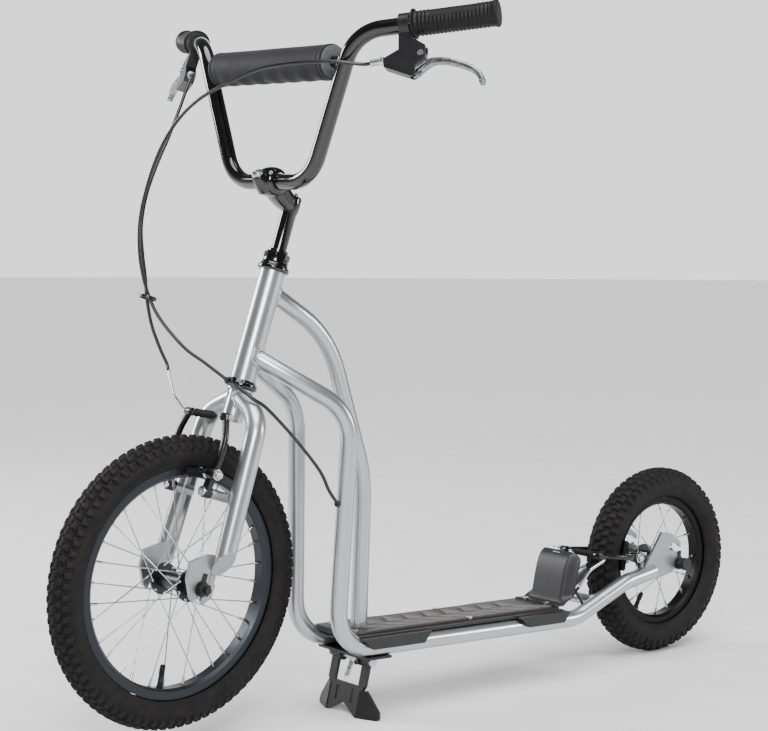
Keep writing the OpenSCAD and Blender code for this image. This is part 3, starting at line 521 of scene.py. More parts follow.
def tyre(name, wheel, body, outer, width, bead, rows, knobs, node):
    """A tyre: the section is a circle whose tread side is sunk 3.4 mm except on the knobs, with
    rings and a lip on its walls. knobs gives, for the place along the pitch and the angle round
    the section, how high a knob stands, from 0 to 1."""
    c, r = outer - width / 2, width / 2
    end = 180 - np.degrees(np.arccos((c - bead) / r))
    phi = np.radians(np.linspace(-end, end, 81))
    theta = np.linspace(0, 2 * np.pi, rows * 12, endpoint=False)
    pitch = theta[:, None] * rows / (2 * np.pi)
    deg = np.degrees(phi)[None, :]
    raised = knobs(pitch, deg)
    tread = 1 - smoothstep(70, 92, np.abs(deg))
    ribs = 0.25 * np.sin(np.radians((np.abs(deg) - 98) * 24)) * block(np.abs(deg), 99, 128, 2)
    lip = 0.9 * block(np.abs(deg), 132, 138, 2)
    section = r - 0.7 - 2.7 * tread * (1 - raised) + 0.7 * raised * tread + ribs + lip - 0.2
    section = np.minimum(section, r)
    inner = np.linspace(phi[-1], phi[0], 14)[1:-1]
    inside = np.full((len(theta), len(inner)), r - 3.4)
    section = np.concatenate([section, inside], 1)
    angle = np.concatenate([phi, inner])[None, :]
    away, side = c + section * np.cos(angle), section * np.sin(angle)
    grid = np.stack([away * np.cos(theta)[:, None], side, away * np.sin(theta)[:, None]], -1)
    return piece(name, [grid_shell(grid, along=True)], wheel, TYRE, body, [node], 50)


def front_knobs(p, d):
    """Staggered square blocks in two middle rows, slanted blocks beside them, bars at the edge."""
    a = np.abs(d)
    f = np.mod(p + 0.25 * (d > 0), 1)
    g = np.mod(p + 0.5 + 0.25 * (d > 0) + a / 260, 1)
    middle = block(f, 0.10, 0.66, 0.06) * block(a, 3, 17, 1.6)
    second = block(g, 0.12, 0.72, 0.06) * block(a, 22, 40, 1.8)
    h = np.mod(f + 0.12 - a / 500, 1)
    edge = block(h, 0.14, 0.70, 0.06) * block(a, 46, 76, 2.0)
    return np.maximum(np.maximum(middle, second), edge)


def rear_knobs(p, d):
    """Wide bars across each half, a narrow middle rib and long shoulder bars."""
    a = np.abs(d)
    f = np.mod(p + 0.5 * (d > 0), 1)
    middle = block(f, 0.12, 0.74, 0.06) * block(a, 2.5, 24, 1.6)
    g = np.mod(p + 0.5 + 0.5 * (d > 0), 1)
    second = block(g, 0.16, 0.68, 0.06) * block(a, 29, 50, 1.8)
    edge = block(f, 0.2, 0.72, 0.06) * block(a, 54, 80, 2.0)
    return np.maximum(np.maximum(middle, second), edge)


tyre("front_knobbly_tyre", FRONT_WHEEL, "front_wheel", 202, 48, 158.6, 84, front_knobs, "front_tyre")
tyre("rear_knobbly_tyre", REAR_WHEEL, "rear_wheel", 157, 54, 107.6, 58, rear_knobs, "rear_tyre")


def valve(name, wheel, body, rim_in, angle):
    """A rubber valve: a tapered sleeve out of the rim and a screwed cap."""
    profile = [
        (rim_in + 3, 4.6), (rim_in - 1.5, 4.6), (rim_in - 3, 4.0), (rim_in - 16, 3.5), (rim_in - 17, 3.1),
        (rim_in - 17.5, 4.0), (rim_in - 29.5, 3.9), (rim_in - 31.4, 2.6), (rim_in - 31.6, 0.1),
    ]
    piece(name, [lathe(profile, "X", 24)], wheel @ turned("Y", angle), BLOCK, body, (), 40)


valve("front_valve", FRONT_WHEEL, "front_wheel", 144, 98)
valve("rear_valve", REAR_WHEEL, "rear_wheel", 95, 60)


def spoke_heads(name, wheel, body, count, flange_y):
    """A domed head on the flange for every spoke, on the side it comes from."""
    shells, hole_circle, half_flange = [], 19, 1.6
    lace = 52 if count > 20 else 40  # degrees from a spoke's place on the rim to its hole
    dome, faces = lathe([(0, 0.1), (0.05, 1.9), (0.6, 1.9), (1.2, 1.3), (1.4, 0.1)], "Y", 10)
    for i in range(count):
        side, lead = 1 - 2 * (i % 2), 1 - 2 * (i // 2 % 2)
        a = np.radians(360 * i / count + lead * lace)
        hole = [hole_circle * np.cos(a), side * (flange_y + lead * half_flange), hole_circle * np.sin(a)]
        shells.append((dome * [1, side * lead, 1] + hole, faces))
    piece(name, shells, wheel, ZINC, body)


spoke_heads("front_spoke_heads", FRONT_WHEEL, "front_wheel", 32, 29)
spoke_heads("rear_spoke_heads", REAR_WHEEL, "rear_wheel", 16, 27)


# ---- frame tubes, drawn smooth ----
SIDE_LINE = np.array([
    (360, 12, 505), (236.2, 65.1, 431.5), (240.5, RAIL, 87), (-238, RAIL, 87), (-355, RAIL, 136),
    (-418, RAIL, 148),
])
TOP_LINE = np.array([(341, 0, 602), (231.6, 0, 537.6), (160, 0, 330), (162, 0, 89)])


def weld(name, point, direction, radius, centre, axis, big, at, body, bead=1.9):
    """A bead where a tube meets a bigger one: for each angle round the tube, the place where its
    wall reaches the big cylinder (the near side for a negative radius); the bead's thickness
    ripples as a hand-laid weld does."""
    point, centre = np.asarray(point, float), np.asarray(centre, float)
    direction, axis = unit(direction), unit(axis)
    u = unit(np.cross(direction, [0.1, 0.2, 1]))
    v = np.cross(direction, u)
    q = np.linspace(0, 2 * np.pi, 160, endpoint=False)[:, None]
    start = point + radius * (np.cos(q) * u + np.sin(q) * v)
    flat = (start - centre) - ((start - centre) @ axis)[:, None] * axis
    d = direction - (direction @ axis) * axis
    a, b, c = d @ d, flat @ d, (flat * flat).sum(1) - big * big
    t = (-b + np.sign(big) * np.sqrt(np.maximum(b * b - a * c, 0))) / a
    line = start + t[:, None] * direction
    ripple = bead * (1 + 0.12 * np.sin(np.linspace(0, 2 * np.pi * 34, 160, endpoint=False)))
    grid = sweep(line, ripple, ripple, direction, 10, closed=True)
    piece(name, [grid_shell(grid, along=True)], at, BEAD, body)


def frame_tube(node, line, bends):
    """A frame tube along a line with those bend radii, run on into the head tube with a narrowed
    end that stays hidden, and its weld on the head tube."""
    path = rounded(line, bends)
    path = np.concatenate([[path[0] - 9 * unit(path[1] - path[0])], path])
    radius = np.full(len(path), FRAME_TUBE)
    radius[0] = 6
    tube = rod(path, radius, (0, 1, 0), 40)
    piece(f"{node}_bent", [tube], LEVEL, SILVER, "frame", [node], 60)
    head = np.linalg.inv(LEVEL) @ HEAD
    weld(
        f"{node}_weld", line[0], line[1] - line[0], FRAME_TUBE, head[:3, 3], head[:3, 2], HEAD_TUBE, LEVEL,
        "frame",
    )


frame_tube("top_tube", TOP_LINE, [150, 180])
BRIDGE = 9  # radius of the cross bridges
for side, word in SIDES:
    frame_tube(f"side_tube_{word}", SIDE_LINE * [1, side, 1], [70, 60, 80, 80])
    for x, z, along in (
        (162, 87, (1, 0, 0)), (-20, 87, (1, 0, 0)), (-196, 87, (1, 0, 0)), (-288, 109, (-117, 0, 49)),
    ):
        weld(
            f"bridge_weld_{word}_{abs(x)}", (x, 0, z), (0, side, 0), BRIDGE, (x, side * RAIL, z), along,
            -FRAME_TUBE, LEVEL, "frame", 1.4,
        )


def cut_ring(ring, direction, point, normal):
    """A ring of points slid along the direction onto a plane."""
    t = ((np.asarray(point) - ring) @ normal) / (direction @ normal)
    return ring + t[:, None] * direction


LEG_LINE = np.array([(0, 6, 266), (0, 56, 240), (0, 65, 10)], float)
CUT_NORMAL = np.array([0, -np.sin(np.radians(53)), np.cos(np.radians(53))])
for side, word in SIDES:
    leg = rounded(LEG_LINE, [45])[:-1]
    down = unit(LEG_LINE[2] - LEG_LINE[1])
    leg = np.concatenate([leg, [leg[-1] + down * 20, leg[-1] + down * 21]])
    grid = sweep(leg, FORK_LEG, FORK_LEG, (1, 0, 0), 44)
    grid[-1] = cut_ring(grid[-2], down, (0, 51, 22), CUT_NORMAL)
    lid = np.stack([grid[-1], grid[-1] - CUT_NORMAL * 0.8])
    at, node = (FORK if side > 0 else FORK @ MIRROR), f"fork_leg_{word}"
    piece(f"{node}_tube", [grid_shell(grid)], at, SILVER, "steering", [node], 40)
    piece(f"{node}_lid", [grid_shell(lid)], at, PLATE, "steering", (), 40)
    weld(
        f"{node}_weld", LEG_LINE[0], LEG_LINE[1] - LEG_LINE[0], FORK_LEG, (0, 0, 0), (0, 0, 1), STEERER, at,
        "steering", 2.2,
    )


# ---- handlebar, grips and pad ----
half_bar = np.array([BAR_LOW, BAR_HIGH, BAR_END])
bar_line = rounded(np.concatenate([half_bar[::-1] * [1, -1, 1], half_bar]), [60, 55, 55, 60], 4)
piece(
    "handlebar_bent", [rod(bar_line, BAR, (1, 0.05, 0.4), 40)], FORK, ENAMEL, "steering", ["handlebar"], 60,
)
CROSS = BAR_LOW + (BAR_HIGH - BAR_LOW) * 0.81  # where the crossbar meets the risers
CROSSBAR = 8  # its radius
for side, word in SIDES:
    weld(
        f"crossbar_weld_{word}", CROSS * [1, 0, 1], (0, side, 0), CROSSBAR, CROSS * [1, side, 1],
        (BAR_HIGH - BAR_LOW) * [1, side, 1], -BAR, FORK, "steering", 1.3,
    )


def grip(side, word):
    """A rubber grip: a flange, a body with raised rings at both ends and finger ribs below that
    fade out over a smooth patch on top, and a belled closed end."""
    x = np.concatenate(
        [[0, 0.02, 0.8, 3.2, 4.0], np.arange(4.6, 109.5, 0.55), [110, 112, 114, 114.9, 115, 115]]
    )
    q = np.linspace(0, 2 * np.pi, 56, endpoint=False)
    base = np.interp(
        x, [0, 0.02, 0.8, 3.2, 4.0, 4.6, 7, 104, 110, 112, 114, 114.9, 115],
        [11.2, 18.8, 20, 20, 18.8, 17.0, 16.0, 16.0, 17.2, 18, 17.8, 16.8, 15],
    )
    base[-1] = 0.1
    ring = 0.5 + 0.5 * np.cos((x - 6) * 2 * np.pi / 5.2)
    ends = np.maximum(block(x, 7, 24, 2), block(x, 88, 105, 2))
    below = smoothstep(0.15, -0.45, np.sin(q)[None, :])
    height = ring[:, None] * np.maximum(ends[:, None] * 0.8, below * block(x, 7, 105, 2)[:, None] * 1.1)
    radius = base[:, None] + height
    grid = np.stack([np.broadcast_to(x[:, None], radius.shape), radius * np.cos(q), radius * np.sin(q)], -1)
    at = on_bar(BAR_STRAIGHT - 112, side)
    piece(f"ribbed_grip_{word}", [grid_shell(grid)], at, GRIP, "steering", [f"grip_{word}"], 45)


for side, word in SIDES:
    grip(side, word)

PAD = FORK @ shift(CROSS[0], 0, CROSS[2])


def foam_core():
    """The foam tube inside the pad's cover: cut ends with a soft edge, and a hole for the bar."""
    half = [(100, 23.2), (119.5, 22.9), (121.5, 20.5), (121.9, 12), (121.5, 8.1)]
    tube = lathe([(-y, r) for y, r in half[::-1]] + half, "Y", 64, hollow=True)
    piece("pad_foam_core", [tube], PAD, FOAM, "steering", (), 50)


def pad_cover():
    """The pad's cloth sleeve: a tube whose radius carries shallow pulls along the seam below and
    soft dents between the stitches, thick at the hemmed ends."""
    y = np.linspace(-119.5, 119.5, 140)
    q = np.linspace(0, 2 * np.pi, 120, endpoint=False)
    down = np.exp(-((((q - 1.5 * np.pi) + np.pi) % (2 * np.pi) - np.pi) ** 2) / 0.5)
    pulls = 0.7 * np.sin(y / 5.2)[:, None] * down[None, :]
    slack = 0.35 * np.sin(y / 17 + 1.2)[:, None] * np.sin(2 * q + 0.7)[None, :]
    hem = 0.55 * (np.exp(-((np.abs(y) - 117) ** 2) / 3.5) + 0.5 * np.exp(-((np.abs(y) - 109) ** 2) / 1.2))
    stitch = -0.35 * np.exp(-((np.abs(y) - 112.5) ** 2) / 0.8)
    outer = 24.0 + pulls + slack + (hem + stitch)[:, None]
    radius = np.concatenate([outer, np.full_like(outer, 23.1)])
    length = np.broadcast_to(np.concatenate([y, y[::-1]])[:, None], radius.shape)
    grid = np.stack([radius * np.cos(q), length, radius * np.sin(q)], -1)
    return piece(
        "pad_cloth_cover", [grid_shell(grid, along=True)], PAD, CLOTH, "steering", ["bar_pad"], 60
    )


def cloth_uv(made, at):
    """A UV map in threads: u runs round the pad and v along it, 8.2 mm of cloth to a unit, of which
    the wave pattern makes 2.6 mm one thread."""
    mesh = made.data
    co = np.zeros(len(mesh.vertices) * 3)
    mesh.vertices.foreach_get("co", co)
    back = np.linalg.inv(at)
    p = (co.reshape(-1, 3) / MM) @ back[:3, :3].T + back[:3, 3]
    loops = np.zeros(len(mesh.loops), int)
    mesh.loops.foreach_get("vertex_index", loops)
    round_it, along_it = np.arctan2(p[:, 2], p[:, 0])[loops], p[:, 1][loops]
    starts, sizes = np.zeros(len(mesh.polygons), int), np.zeros(len(mesh.polygons), int)
    mesh.polygons.foreach_get("loop_start", starts)
    mesh.polygons.foreach_get("loop_total", sizes)
    owner = np.repeat(np.arange(len(sizes)), sizes)
    first = round_it[starts][owner]
    round_it = np.where(round_it - first > np.pi, round_it - 2 * np.pi, round_it)
    round_it = np.where(first - round_it > np.pi, round_it + 2 * np.pi, round_it)
    layer = mesh.uv_layers.new(name="cloth")
    cloth_per_unit, pad_radius = 8.2, 24
    uv = np.stack([round_it * pad_radius, along_it], 1) / cloth_per_unit
    layer.data.foreach_set("uv", uv.ravel())


foam_core()
cover = pad_cover()
cloth_uv(cover, PAD)


# ---- brake levers ----
def brake_lever(side, word):
    """The blade: a flattened bar along a bent line, thickest at the pivot, thin in the waist,
    wide under the fingers and turned down to a rounded tip."""
    line = smooth_line(
        [(10, 0, -70), (18, 0, -66), (27, 0, -60), (36, 0, -56), (45, 0, -56), (56, 0, -58), (68, 0, -62),
         (80, 0, -67.5), (90, 0, -73.5), (97, 0, -80), (101, 0, -88), (102, 0, -95)], 8,
    )
    s = np.linspace(0, 1, len(line))
    stations = [0, 0.08, 0.2, 0.34, 0.5, 0.75, 0.88, 0.95, 1]
    wide = np.interp(s, stations, [3.6, 3.9, 3.9, 4.3, 6.0, 6.2, 5.4, 5.0, 3.6])
    thick = np.interp(s, stations, [5, 6.6, 6.4, 5.2, 4.4, 4.2, 4.0, 4.2, 3.0])
    blade = grid_shell(sweep(line, wide, thick, (0.2, 0, -1), 28, 3.2))
    nose = prism([(22, -39), (27, -44), (28, -56), (20, -72), (10, -75), (11, -62), (15, -44)], -3.8, 3.8)
    made = piece(
        f"brake_lever_{word}", [blade, nose], on_bar(LEVER, side), BUFFED, f"lever_{word}",
        [f"lever_blade_{word}"], 45,
    )
    rounded_edges(made, 0.9, 2, 50)


for side, word in SIDES:
    brake_lever(side, word)


# ---- brake cables ----
def in_row(points, at):
    """Points of another frame, in the row frame, still in millimetres."""
    return place(points, at) / MM


def cable(name, line, body, node):
    """A sleeved brake cable along a line given in the row frame: the sleeve."""
    line, radius = finer(line, 5), 2.5
    sleeve = rod(line, radius, (0.3, 0.5, 0.81), 16)
    made = piece(name, [sleeve], np.eye(4), SLEEVE, body, [node], 60)
    return made


def barrel_point(along, side):
    """A point on the line of the cable stop of a lever, that far out from the lever's middle."""
    return in_row([(along, 0, -47)], on_bar(LEVER, side))


FRONT_LINE = smooth_line(
    np.concatenate([
        barrel_point(-46, -1), barrel_point(-60, -1),
        in_row(
            [(103, -174, 695), (112, -165, 655), (124, -154, 606), (135, -147, 560), (143, -140, 510),
             (141, -134, 465), (129, -131, 430), (115, -129, 400), (102.5, -128, 371), (84, -126, 338),
             (60, -124, 310), (44, -120.8, 292.9), (44, -112.6, 282.8)], FORK,
        ),
    ]), 8,
)
TIE = in_row([(111.5, -118.5, 378)], FORK)[0]
CLIP = in_row([(404, 4, 475)], LEVEL)[0]
REAR_LINE = smooth_line(
    np.concatenate([
        barrel_point(-46, 1), barrel_point(-60, 1),
        in_row(
            [(122, 150, 705), (145, 100, 695), (158, 50, 683), (165, 0, 662), (166, -50, 640), (162, -90, 612),
             (160, -114, 570), (157, -124, 520), (150, -128, 470), (136, -123, 420), (111.5, -118.5, 378),
             (90, -102, 346), (60, -72, 316), (42, -40, 301)], FORK,
        ),
        in_row(
            [(404, 4, 475), (401, 28, 466), (388, 46, 451), (369.8, 52, 438), (329, 58.5, 398), (290, 66, 352),
             (270, 63, 322), (254, 60.2, 304), (243, 59, 290)], LEVEL,
        ),
    ]), 8,
)
TAIL_LINE = smooth_line(
    in_row(
        [(-240, 50, 89), (-249, 49, 92.5), (-259, 46.2, 101.8), (-257.8, 45.2, 110), (-254.2, 42.2, 119),
         (-249.2, 39.8, 127.2), (-252.5, 43.5, 135.6)], LEVEL,
    ), 8,
)


def nearest(line, point):
    """The index of the point of a line that is nearest to a point."""
    return int(np.linalg.norm(line - point, axis=1).argmin())


AT_TIE, AT_CLIP = nearest(REAR_LINE, TIE), nearest(REAR_LINE, CLIP)
cable("front_brake_cable", FRONT_LINE, "steering", "front_cable")
cable("rear_brake_cable_upper", REAR_LINE[: AT_TIE + 1], "steering", "rear_cable")
middle = cable("rear_brake_cable_middle", REAR_LINE[AT_TIE : AT_CLIP + 1], None, "rear_cable")
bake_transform(middle)
cable("rear_brake_cable_lower", REAR_LINE[AT_CLIP:], "frame", "rear_cable")
cable("rear_brake_cable_tail", TAIL_LINE, "frame", "rear_cable")


# ---- cantilever brakes ----
# where, frame, the arms' place along X, half the rim's width, the blocks' lean, body on each side
ARM_PLACES = (
    ("front", FRONT_BRAKE, 40, 12, 9, {1: "front_arm_left", -1: "front_arm_right"}),
    ("rear", REAR_BRAKE, 9, 13, 3, {1: "rear_arm_right", -1: "rear_arm_left"}),
)


def brake_arm(at, x, side, body):
    """One brake arm: a tapering curved bar from the pivot, bowed out round the tyre, with round
    bosses at the pivot, at the pad's post and at the tip."""
    bow = np.array([(4, 40, -2), (4, 46, 25), (4, 51.5, 52), (4, 50, 78), (4, 40, ARM_TIP)])
    line = smooth_line(bow + (x, 0, 0), 8)
    s = np.linspace(0, 1, len(line))
    wide = np.interp(s, [0, 0.25, 0.6, 0.85, 1], [7.5, 6.6, 5.2, 4.8, 5.6])
    deep = np.interp(s, [0, 0.25, 0.6, 1], [5.4, 5.2, 4.0, 3.8])
    bar = grid_shell(sweep(line, wide, deep, (1, 0, 0), 28, 3.0))
    pivot = lathe([(-4.5, 0.1), (-4.5, 7.2), (-3.7, 8.2), (6.6, 8.2), (7.6, 7.2), (7.6, 0.1)], "X", 32)
    post = lathe([(39, 0.1), (39, 7.6), (39.8, 8.4), (54, 8.4), (55, 7.6), (55, 0.1)], "Y", 32)
    tip = lathe([(33.5, 0.1), (33.5, 5.2), (34.3, 6), (45, 6), (46, 5.2), (46, 0.1)], "Y", 28)
    bosses = [
        moved(pivot, shift(x + 0.5, 40, 0)), moved(post, shift(x + 4, 0, PAD_POST)),
        moved(tip, shift(x + 4, 0, ARM_TIP)),
    ]
    at = at if side > 0 else at @ MIRROR
    piece(f"{body}_casting", [bar, *bosses], at, ARM_BLACK, body, [body], 40)


def brake_block(where, at, x, rim, lean, side, body):
    """The rubber block: an eight-sided section, rounded off at both ends, whose face steps back by
    1.6 mm in three slots, and its post with a washer on each side of the arm and a hexagon nut."""
    u = np.linspace(-26, 24, 101)
    slot_at = np.min(np.abs(u[:, None] - np.array([[-13, -1, 11]])), axis=1)
    face = rim + 2.3 + 1.6 * (1 - smoothstep(0.5, 1.1, slot_at))
    end = np.clip(np.minimum(u + 26, 24 - u) / 3, 0, 1) ** 0.5
    half = 1.2 + 3.6 * end
    deep = np.array([0, 0, 7, 8.6, 10, 10, 8.6, 5])
    y = np.where(deep > 0, rim + deep, face[:, None])
    z = -2.2 + half[:, None] * np.array([-1, 0.78, 1, 1, 0.5, -0.6, -1.02, -1.02])
    rubber_block = grid_shell(np.stack([np.broadcast_to(u[:, None], y.shape), y, z], -1))
    here = (at if side > 0 else at @ MIRROR) @ shift(x + 4, 0, PAD_POST)
    word = body.split("_")[-1]
    piece(
        f"{where}_brake_block_{word}", [rubber_block], here @ turned("Y", lean), BLOCK, body,
        [f"{where}_pad_{word}"], 35,
    )
    rod_part = lathe([(rim + 8, 0.1), (rim + 8, 3), (62, 3), (63, 2.2), (63, 0.1)], "Y", 20)
    inner = lathe([(32, 3), (32, 5), (34, 7.4), (38.6, 7.4), (39, 6.6), (39, 3)], "Y", 28)
    outer = lathe([(55, 3), (55, 7), (55.6, 7.4), (56.8, 7.4), (57, 6.8), (57, 3)], "Y", 28)
    nut = lathe([(57, 3), (57, 4.9), (57.7, 5.7), (61.3, 5.7), (62, 4.9), (62, 3)], "Y", 6)
    piece(f"{where}_block_post_{word}", [rod_part, inner, outer, nut], here, ZINC, body, (), 35)


def bellows(where, at, x, body):
    """The rubber bellows over the wire between the two arms, in one fixed shape (a real one folds
    up as the arms close), the bare wire beyond it and the nut that clamps it."""
    y = np.linspace(-27, 21, 120)
    fold = 0.5 + 0.5 * np.cos((y + 24) * 2 * np.pi / 4.4)
    r = 3.9 + 1.7 * fold * block(y, -25, 12, 1.5) + 0.9 * block(y, -27.5, -24, 0.8)
    r = np.where(y > 13, 3.9 - 0.22 * (y - 13), r)
    profile = [(-27.1, 0.1), *zip(y, r), (21.1, 0.1)]
    here = at @ shift(x + 4, 0, ARM_TIP)
    made = piece(
        f"{where}_brake_bellows", [lathe(profile, "Y", 28)], here, BLOCK, body, [f"{where}_boot"], 50,
    )
    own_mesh(made)
    wire = rod([(0, 20, 0), (0, 34, 0), (0, 52, -1), (0, 62, -4)], 0.85, (1, 0, 0), 12)
    nut = lathe([(46.2, 0.9), (46.2, 4.6), (47, 5.4), (51, 5.4), (52, 4.6), (52, 0.9)], "Y", 6)
    cap = moved(lathe([(0, 0.1), (0, 1.5), (9, 1.6), (10, 0.8), (10, 0.1)], "Y", 12), shift(0, 60, -3.6))
    piece(f"{where}_brake_wire_end", [wire, nut, cap], here, ZINC, body, (), 40)


for where, at, x, rim, lean, arms in ARM_PLACES:
    for side, body in arms.items():
        brake_arm(at, x, side, body)
        brake_block(where, at, x, rim, lean, side, body)
    bellows(where, at, x, arms[1])


# ---- headset and stem ----
cups = [
    lathe(profile, "Z", 56) for profile in (
        [(449, 18.2), (449.6, 21.6), (451, 22.5), (455, 22.5), (456.4, 21.6), (457, 20), (460.2, 19.4),
         (461, 18.4), (461, 13)],
        [(278, 13), (278, 21.6), (279.2, 22.5), (284.5, 22.5), (286, 21.5), (287, 20), (289.4, 19.6),
         (290, 18.6), (290, 17)],
    )
]
piece("headset_rings", cups, HEAD, ENAMEL, "frame", ["headset_cups"], 50)
lock_rings = [
    lathe([(461.5, 13), (461.5, 17.2), (462.3, 18.2), (465.6, 18.2), (466.4, 17.4), (466.4, 13)], "Z", 48),
    lathe([(466.6, 13), (466.6, 17.6), (467.4, 18.6), (475.4, 18.6), (476.2, 17.6), (476.2, 13)], "Z", 8),
    lathe([(476.4, 12), (476.4, 14.6), (480, 14.6), (480.6, 13.8), (480.6, 11.2)], "Z", 48),
]
piece("headset_lock_rings", lock_rings, FORK, ENAMEL, "steering", ["headset_locknut"], 40)


def stem():
    """The stem: a round quill with a rounded top, a thickening arm forward to the bar, a clamp
    that bulges like a barrel round the bar, and the boss that the clamp bolt goes through."""
    crown = [(534, 11), (540, 12.8), (557, 13), (560, 12), (560.5, 9), (558.5, 8.8), (558.5, 0.1)]
    quill = lathe([(470, 0.1), (470, 11), *crown], "Z", 48)
    arm_line = smooth_line([(-6, 0, 546), (12, 0, 550), (28, 0, 557), (43, 0, 566)], 8)
    s = np.linspace(0, 1, len(arm_line))
    arm = grid_shell(sweep(arm_line, 11.5 + 4 * s, 12 + 5 * s, (-0.3, 0, 1), 36, 3.4))
    half = [(0, 21.4), (6, 21), (11, 19.9), (14.5, 18.2), (17, 15.6), (18, 13), (18, 11.2)]
    clamp = moved(lathe([(-y, r) for y, r in half[:0:-1]] + half, "Y", 56), shift(45, 0, 566))
    tilted = shift(63, 0, 560) @ turned("Y", 50)
    boss = lathe([(-16, 0.1), (-16, 9), (-14.5, 10.2), (8.6, 10.2), (10, 9.2), (10, 0.1)], "Z", 40)
    shells = [quill, arm, clamp, moved(boss, tilted)]
    piece("handlebar_stem", shells, FORK, ENAMEL, "steering", ["stem"], 45)
    socket = [(15.5, 7.4), (15.5, 4.8), (12, 4.4), (12, 0.1)]
    clamp_bolt = lathe([(9.5, 0.1), (9.5, 7.6), (10.3, 8.3), (14.6, 8.3), *socket], "Z", 36)
    socket = [(565.5, 5.5), (565.5, 3.1), (562, 2.9), (562, 0.1)]
    quill_bolt = lathe([(557, 0.1), (557, 6.2), (564.8, 6.2), *socket], "Z", 32)
    heads = [moved(clamp_bolt, tilted), quill_bolt]
    piece("stem_bolt_heads", heads, FORK, ZINC, "steering", ["stem_bolts"], 45)


stem()


# ---- rear guard ----
GUARD_AT = -222  # along the deck


def rear_guard():
    """A moulded sheet: a flat foot on the deck, a tight bend, then a wall that leans back and
    curls back towards both sides; its top corners are quarter circles."""
    run = finer(smooth_line(
        [(25, 1.6), (8, 1.6), (3.4, 3.2), (1.2, 8), (-2, 25), (-7, 50), (-12, 66), (-18, 76), (-26, 81)], 6
    ), 1.6)
    height = run[:, 1]
    top, half_width, corner, half_wall = 81.5, 46, 17.0, 1.25
    drop = np.clip((height - (top - corner)) / corner, 0, 0.999)
    half = half_width - corner * (1 - np.sqrt(1 - drop**2))
    t = np.linspace(-1, 1, 61)
    y = half[:, None] * t[None, :]
    curl = 17 * smoothstep(31, 47, np.abs(y)) * smoothstep(3, 16, height)[:, None]
    front = np.stack([run[:, :1] - curl, y, np.broadcast_to(height[:, None], y.shape)], -1)
    n = unit(np.stack([-np.gradient(run[:, 1]), np.gradient(run[:, 0])], 1))
    n *= np.where(n[:, :1] > 0, -1, 1) * half_wall
    n[height < 2, :] = (0, -half_wall)
    lift = np.stack([n[:, 0], 0 * n[:, 0], n[:, 1]], 1)[:, None, :]
    grid = np.concatenate([front - lift, (front + lift)[:, ::-1]], 1)
    at = LEVEL @ shift(GUARD_AT, 0, 107.7)
    made = piece(
        "rear_guard_sheet", [grid_shell(grid)], at, GUARD, "frame", ["rear_guard"], 50
    )
    rounded_edges(made, 0.8, 3, 50)


rear_guard()
clip_side = [(-6, -1), (-6, 12), (-4.4, 12), (-4.4, 1.2), (0.6, 1.2), (0.6, 9), (2.2, 9), (2.2, -1)]
clip_shell = prism(clip_side, -8, 8)
clip_at = LEVEL @ shift(GUARD_AT - 22, 0, 186.6)
piece("guard_spring_clip", [moved(clip_shell, np.diag([1, 1, -1, 1.0]))], clip_at, ZINC, "frame")


# ---- raised pattern on the deck, painted lighter as a painted highlight ----
def low_relief(outline, base, top, inset=1.1):
    """A flat-topped lump with sloping sides over an outline in plan."""
    o = np.asarray(outline, float)
    middle = o.mean(0)
    away = np.linalg.norm(o - middle, axis=1, keepdims=True)
    small = middle + (o - middle) * (1 - inset / away)
    rings = [(o, base - 1.2), (o, base), (small, top)]
    return grid_shell(np.array([[(x, y, z) for x, y in ring] for ring, z in rings]))


shells = [low_relief([(-196, 35), (176, 35), (176, 41), (-196, 41)], 107.7, 110.0)]
for k in range(9):
    x = -150 + 38 * k
    shells.append(low_relief([(x - 1, 5), (x + 31, 5), (x + 15, -33)], 108.5, 110.6))
    shells.append(low_relief([(x, 6), (x + 26, 6), (x - 10, 34.5), (x - 43, 34.5)], 108.5, 110.2))
# The raised pattern's lighter colour is a painted highlight.
piece("deck_raised_pattern", shells, LEVEL, DECK_RAISED_HIGHLIGHT, "frame", (), 35)


# ---- stand spring ----
def coil_spring():
    """A coil of 1.3 mm wire with 15 turns on the line between its two hooks, and the hooks."""
    top, foot = np.array([-11, -11.4, -4.0]), np.array([4, -11.4, -36.0])
    turns, coil, wire = 15, 3.3, 0.65
    d = unit(foot - top)
    u = unit(np.cross(d, (0, 1, 0)))
    v = np.cross(d, u)
    s = np.linspace(0, 1, 16 * turns + 1)[:, None]
    q = 2 * np.pi * turns * s
    body = top + (0.16 + 0.68 * s) * (foot - top) + coil * (np.cos(q) * u + np.sin(q) * v)
    first = np.array([top, top + d * 2.5 + u * 1, top + 0.12 * (foot - top) + u * 2.6])
    last = np.array([foot - 0.12 * (foot - top) + u * 2.6, foot - d * 2.5 + u * 1, foot])
    hooks = [smooth_line(np.vstack(x), 5) for x in ([first, body[:1]], [body[-1:], last])]
    spring = rod(np.concatenate([hooks[0][:-1], body, hooks[1][1:]]), wire, (0.3, 0.9, 0.31), 8)
    made = piece("stand_coil_spring", [spring], STAND_PIN, ZINC, None, ["stand_spring"], 60)
    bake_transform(made)


coil_spring()


# ---- soft edges on the CAD nodes that show their own shape ----
for width, names in (
    (0.8, "rear_dropouts fork_fittings stand_legs stand_bracket cable_tie"),
    (1.0, "deck_board lever_bracket_left lever_bracket_right cable_guides"),
    (0.5, "deck_screws lever_screws front_pivot_bolts rear_pivot_bolts lever_barrels front_axle rear_axle "
          "front_hub rear_hub head_tube stand_pin fork_steerer"),
):
    for name in names.split():
        rounded_edges(NODES[name], width, 3, 50)


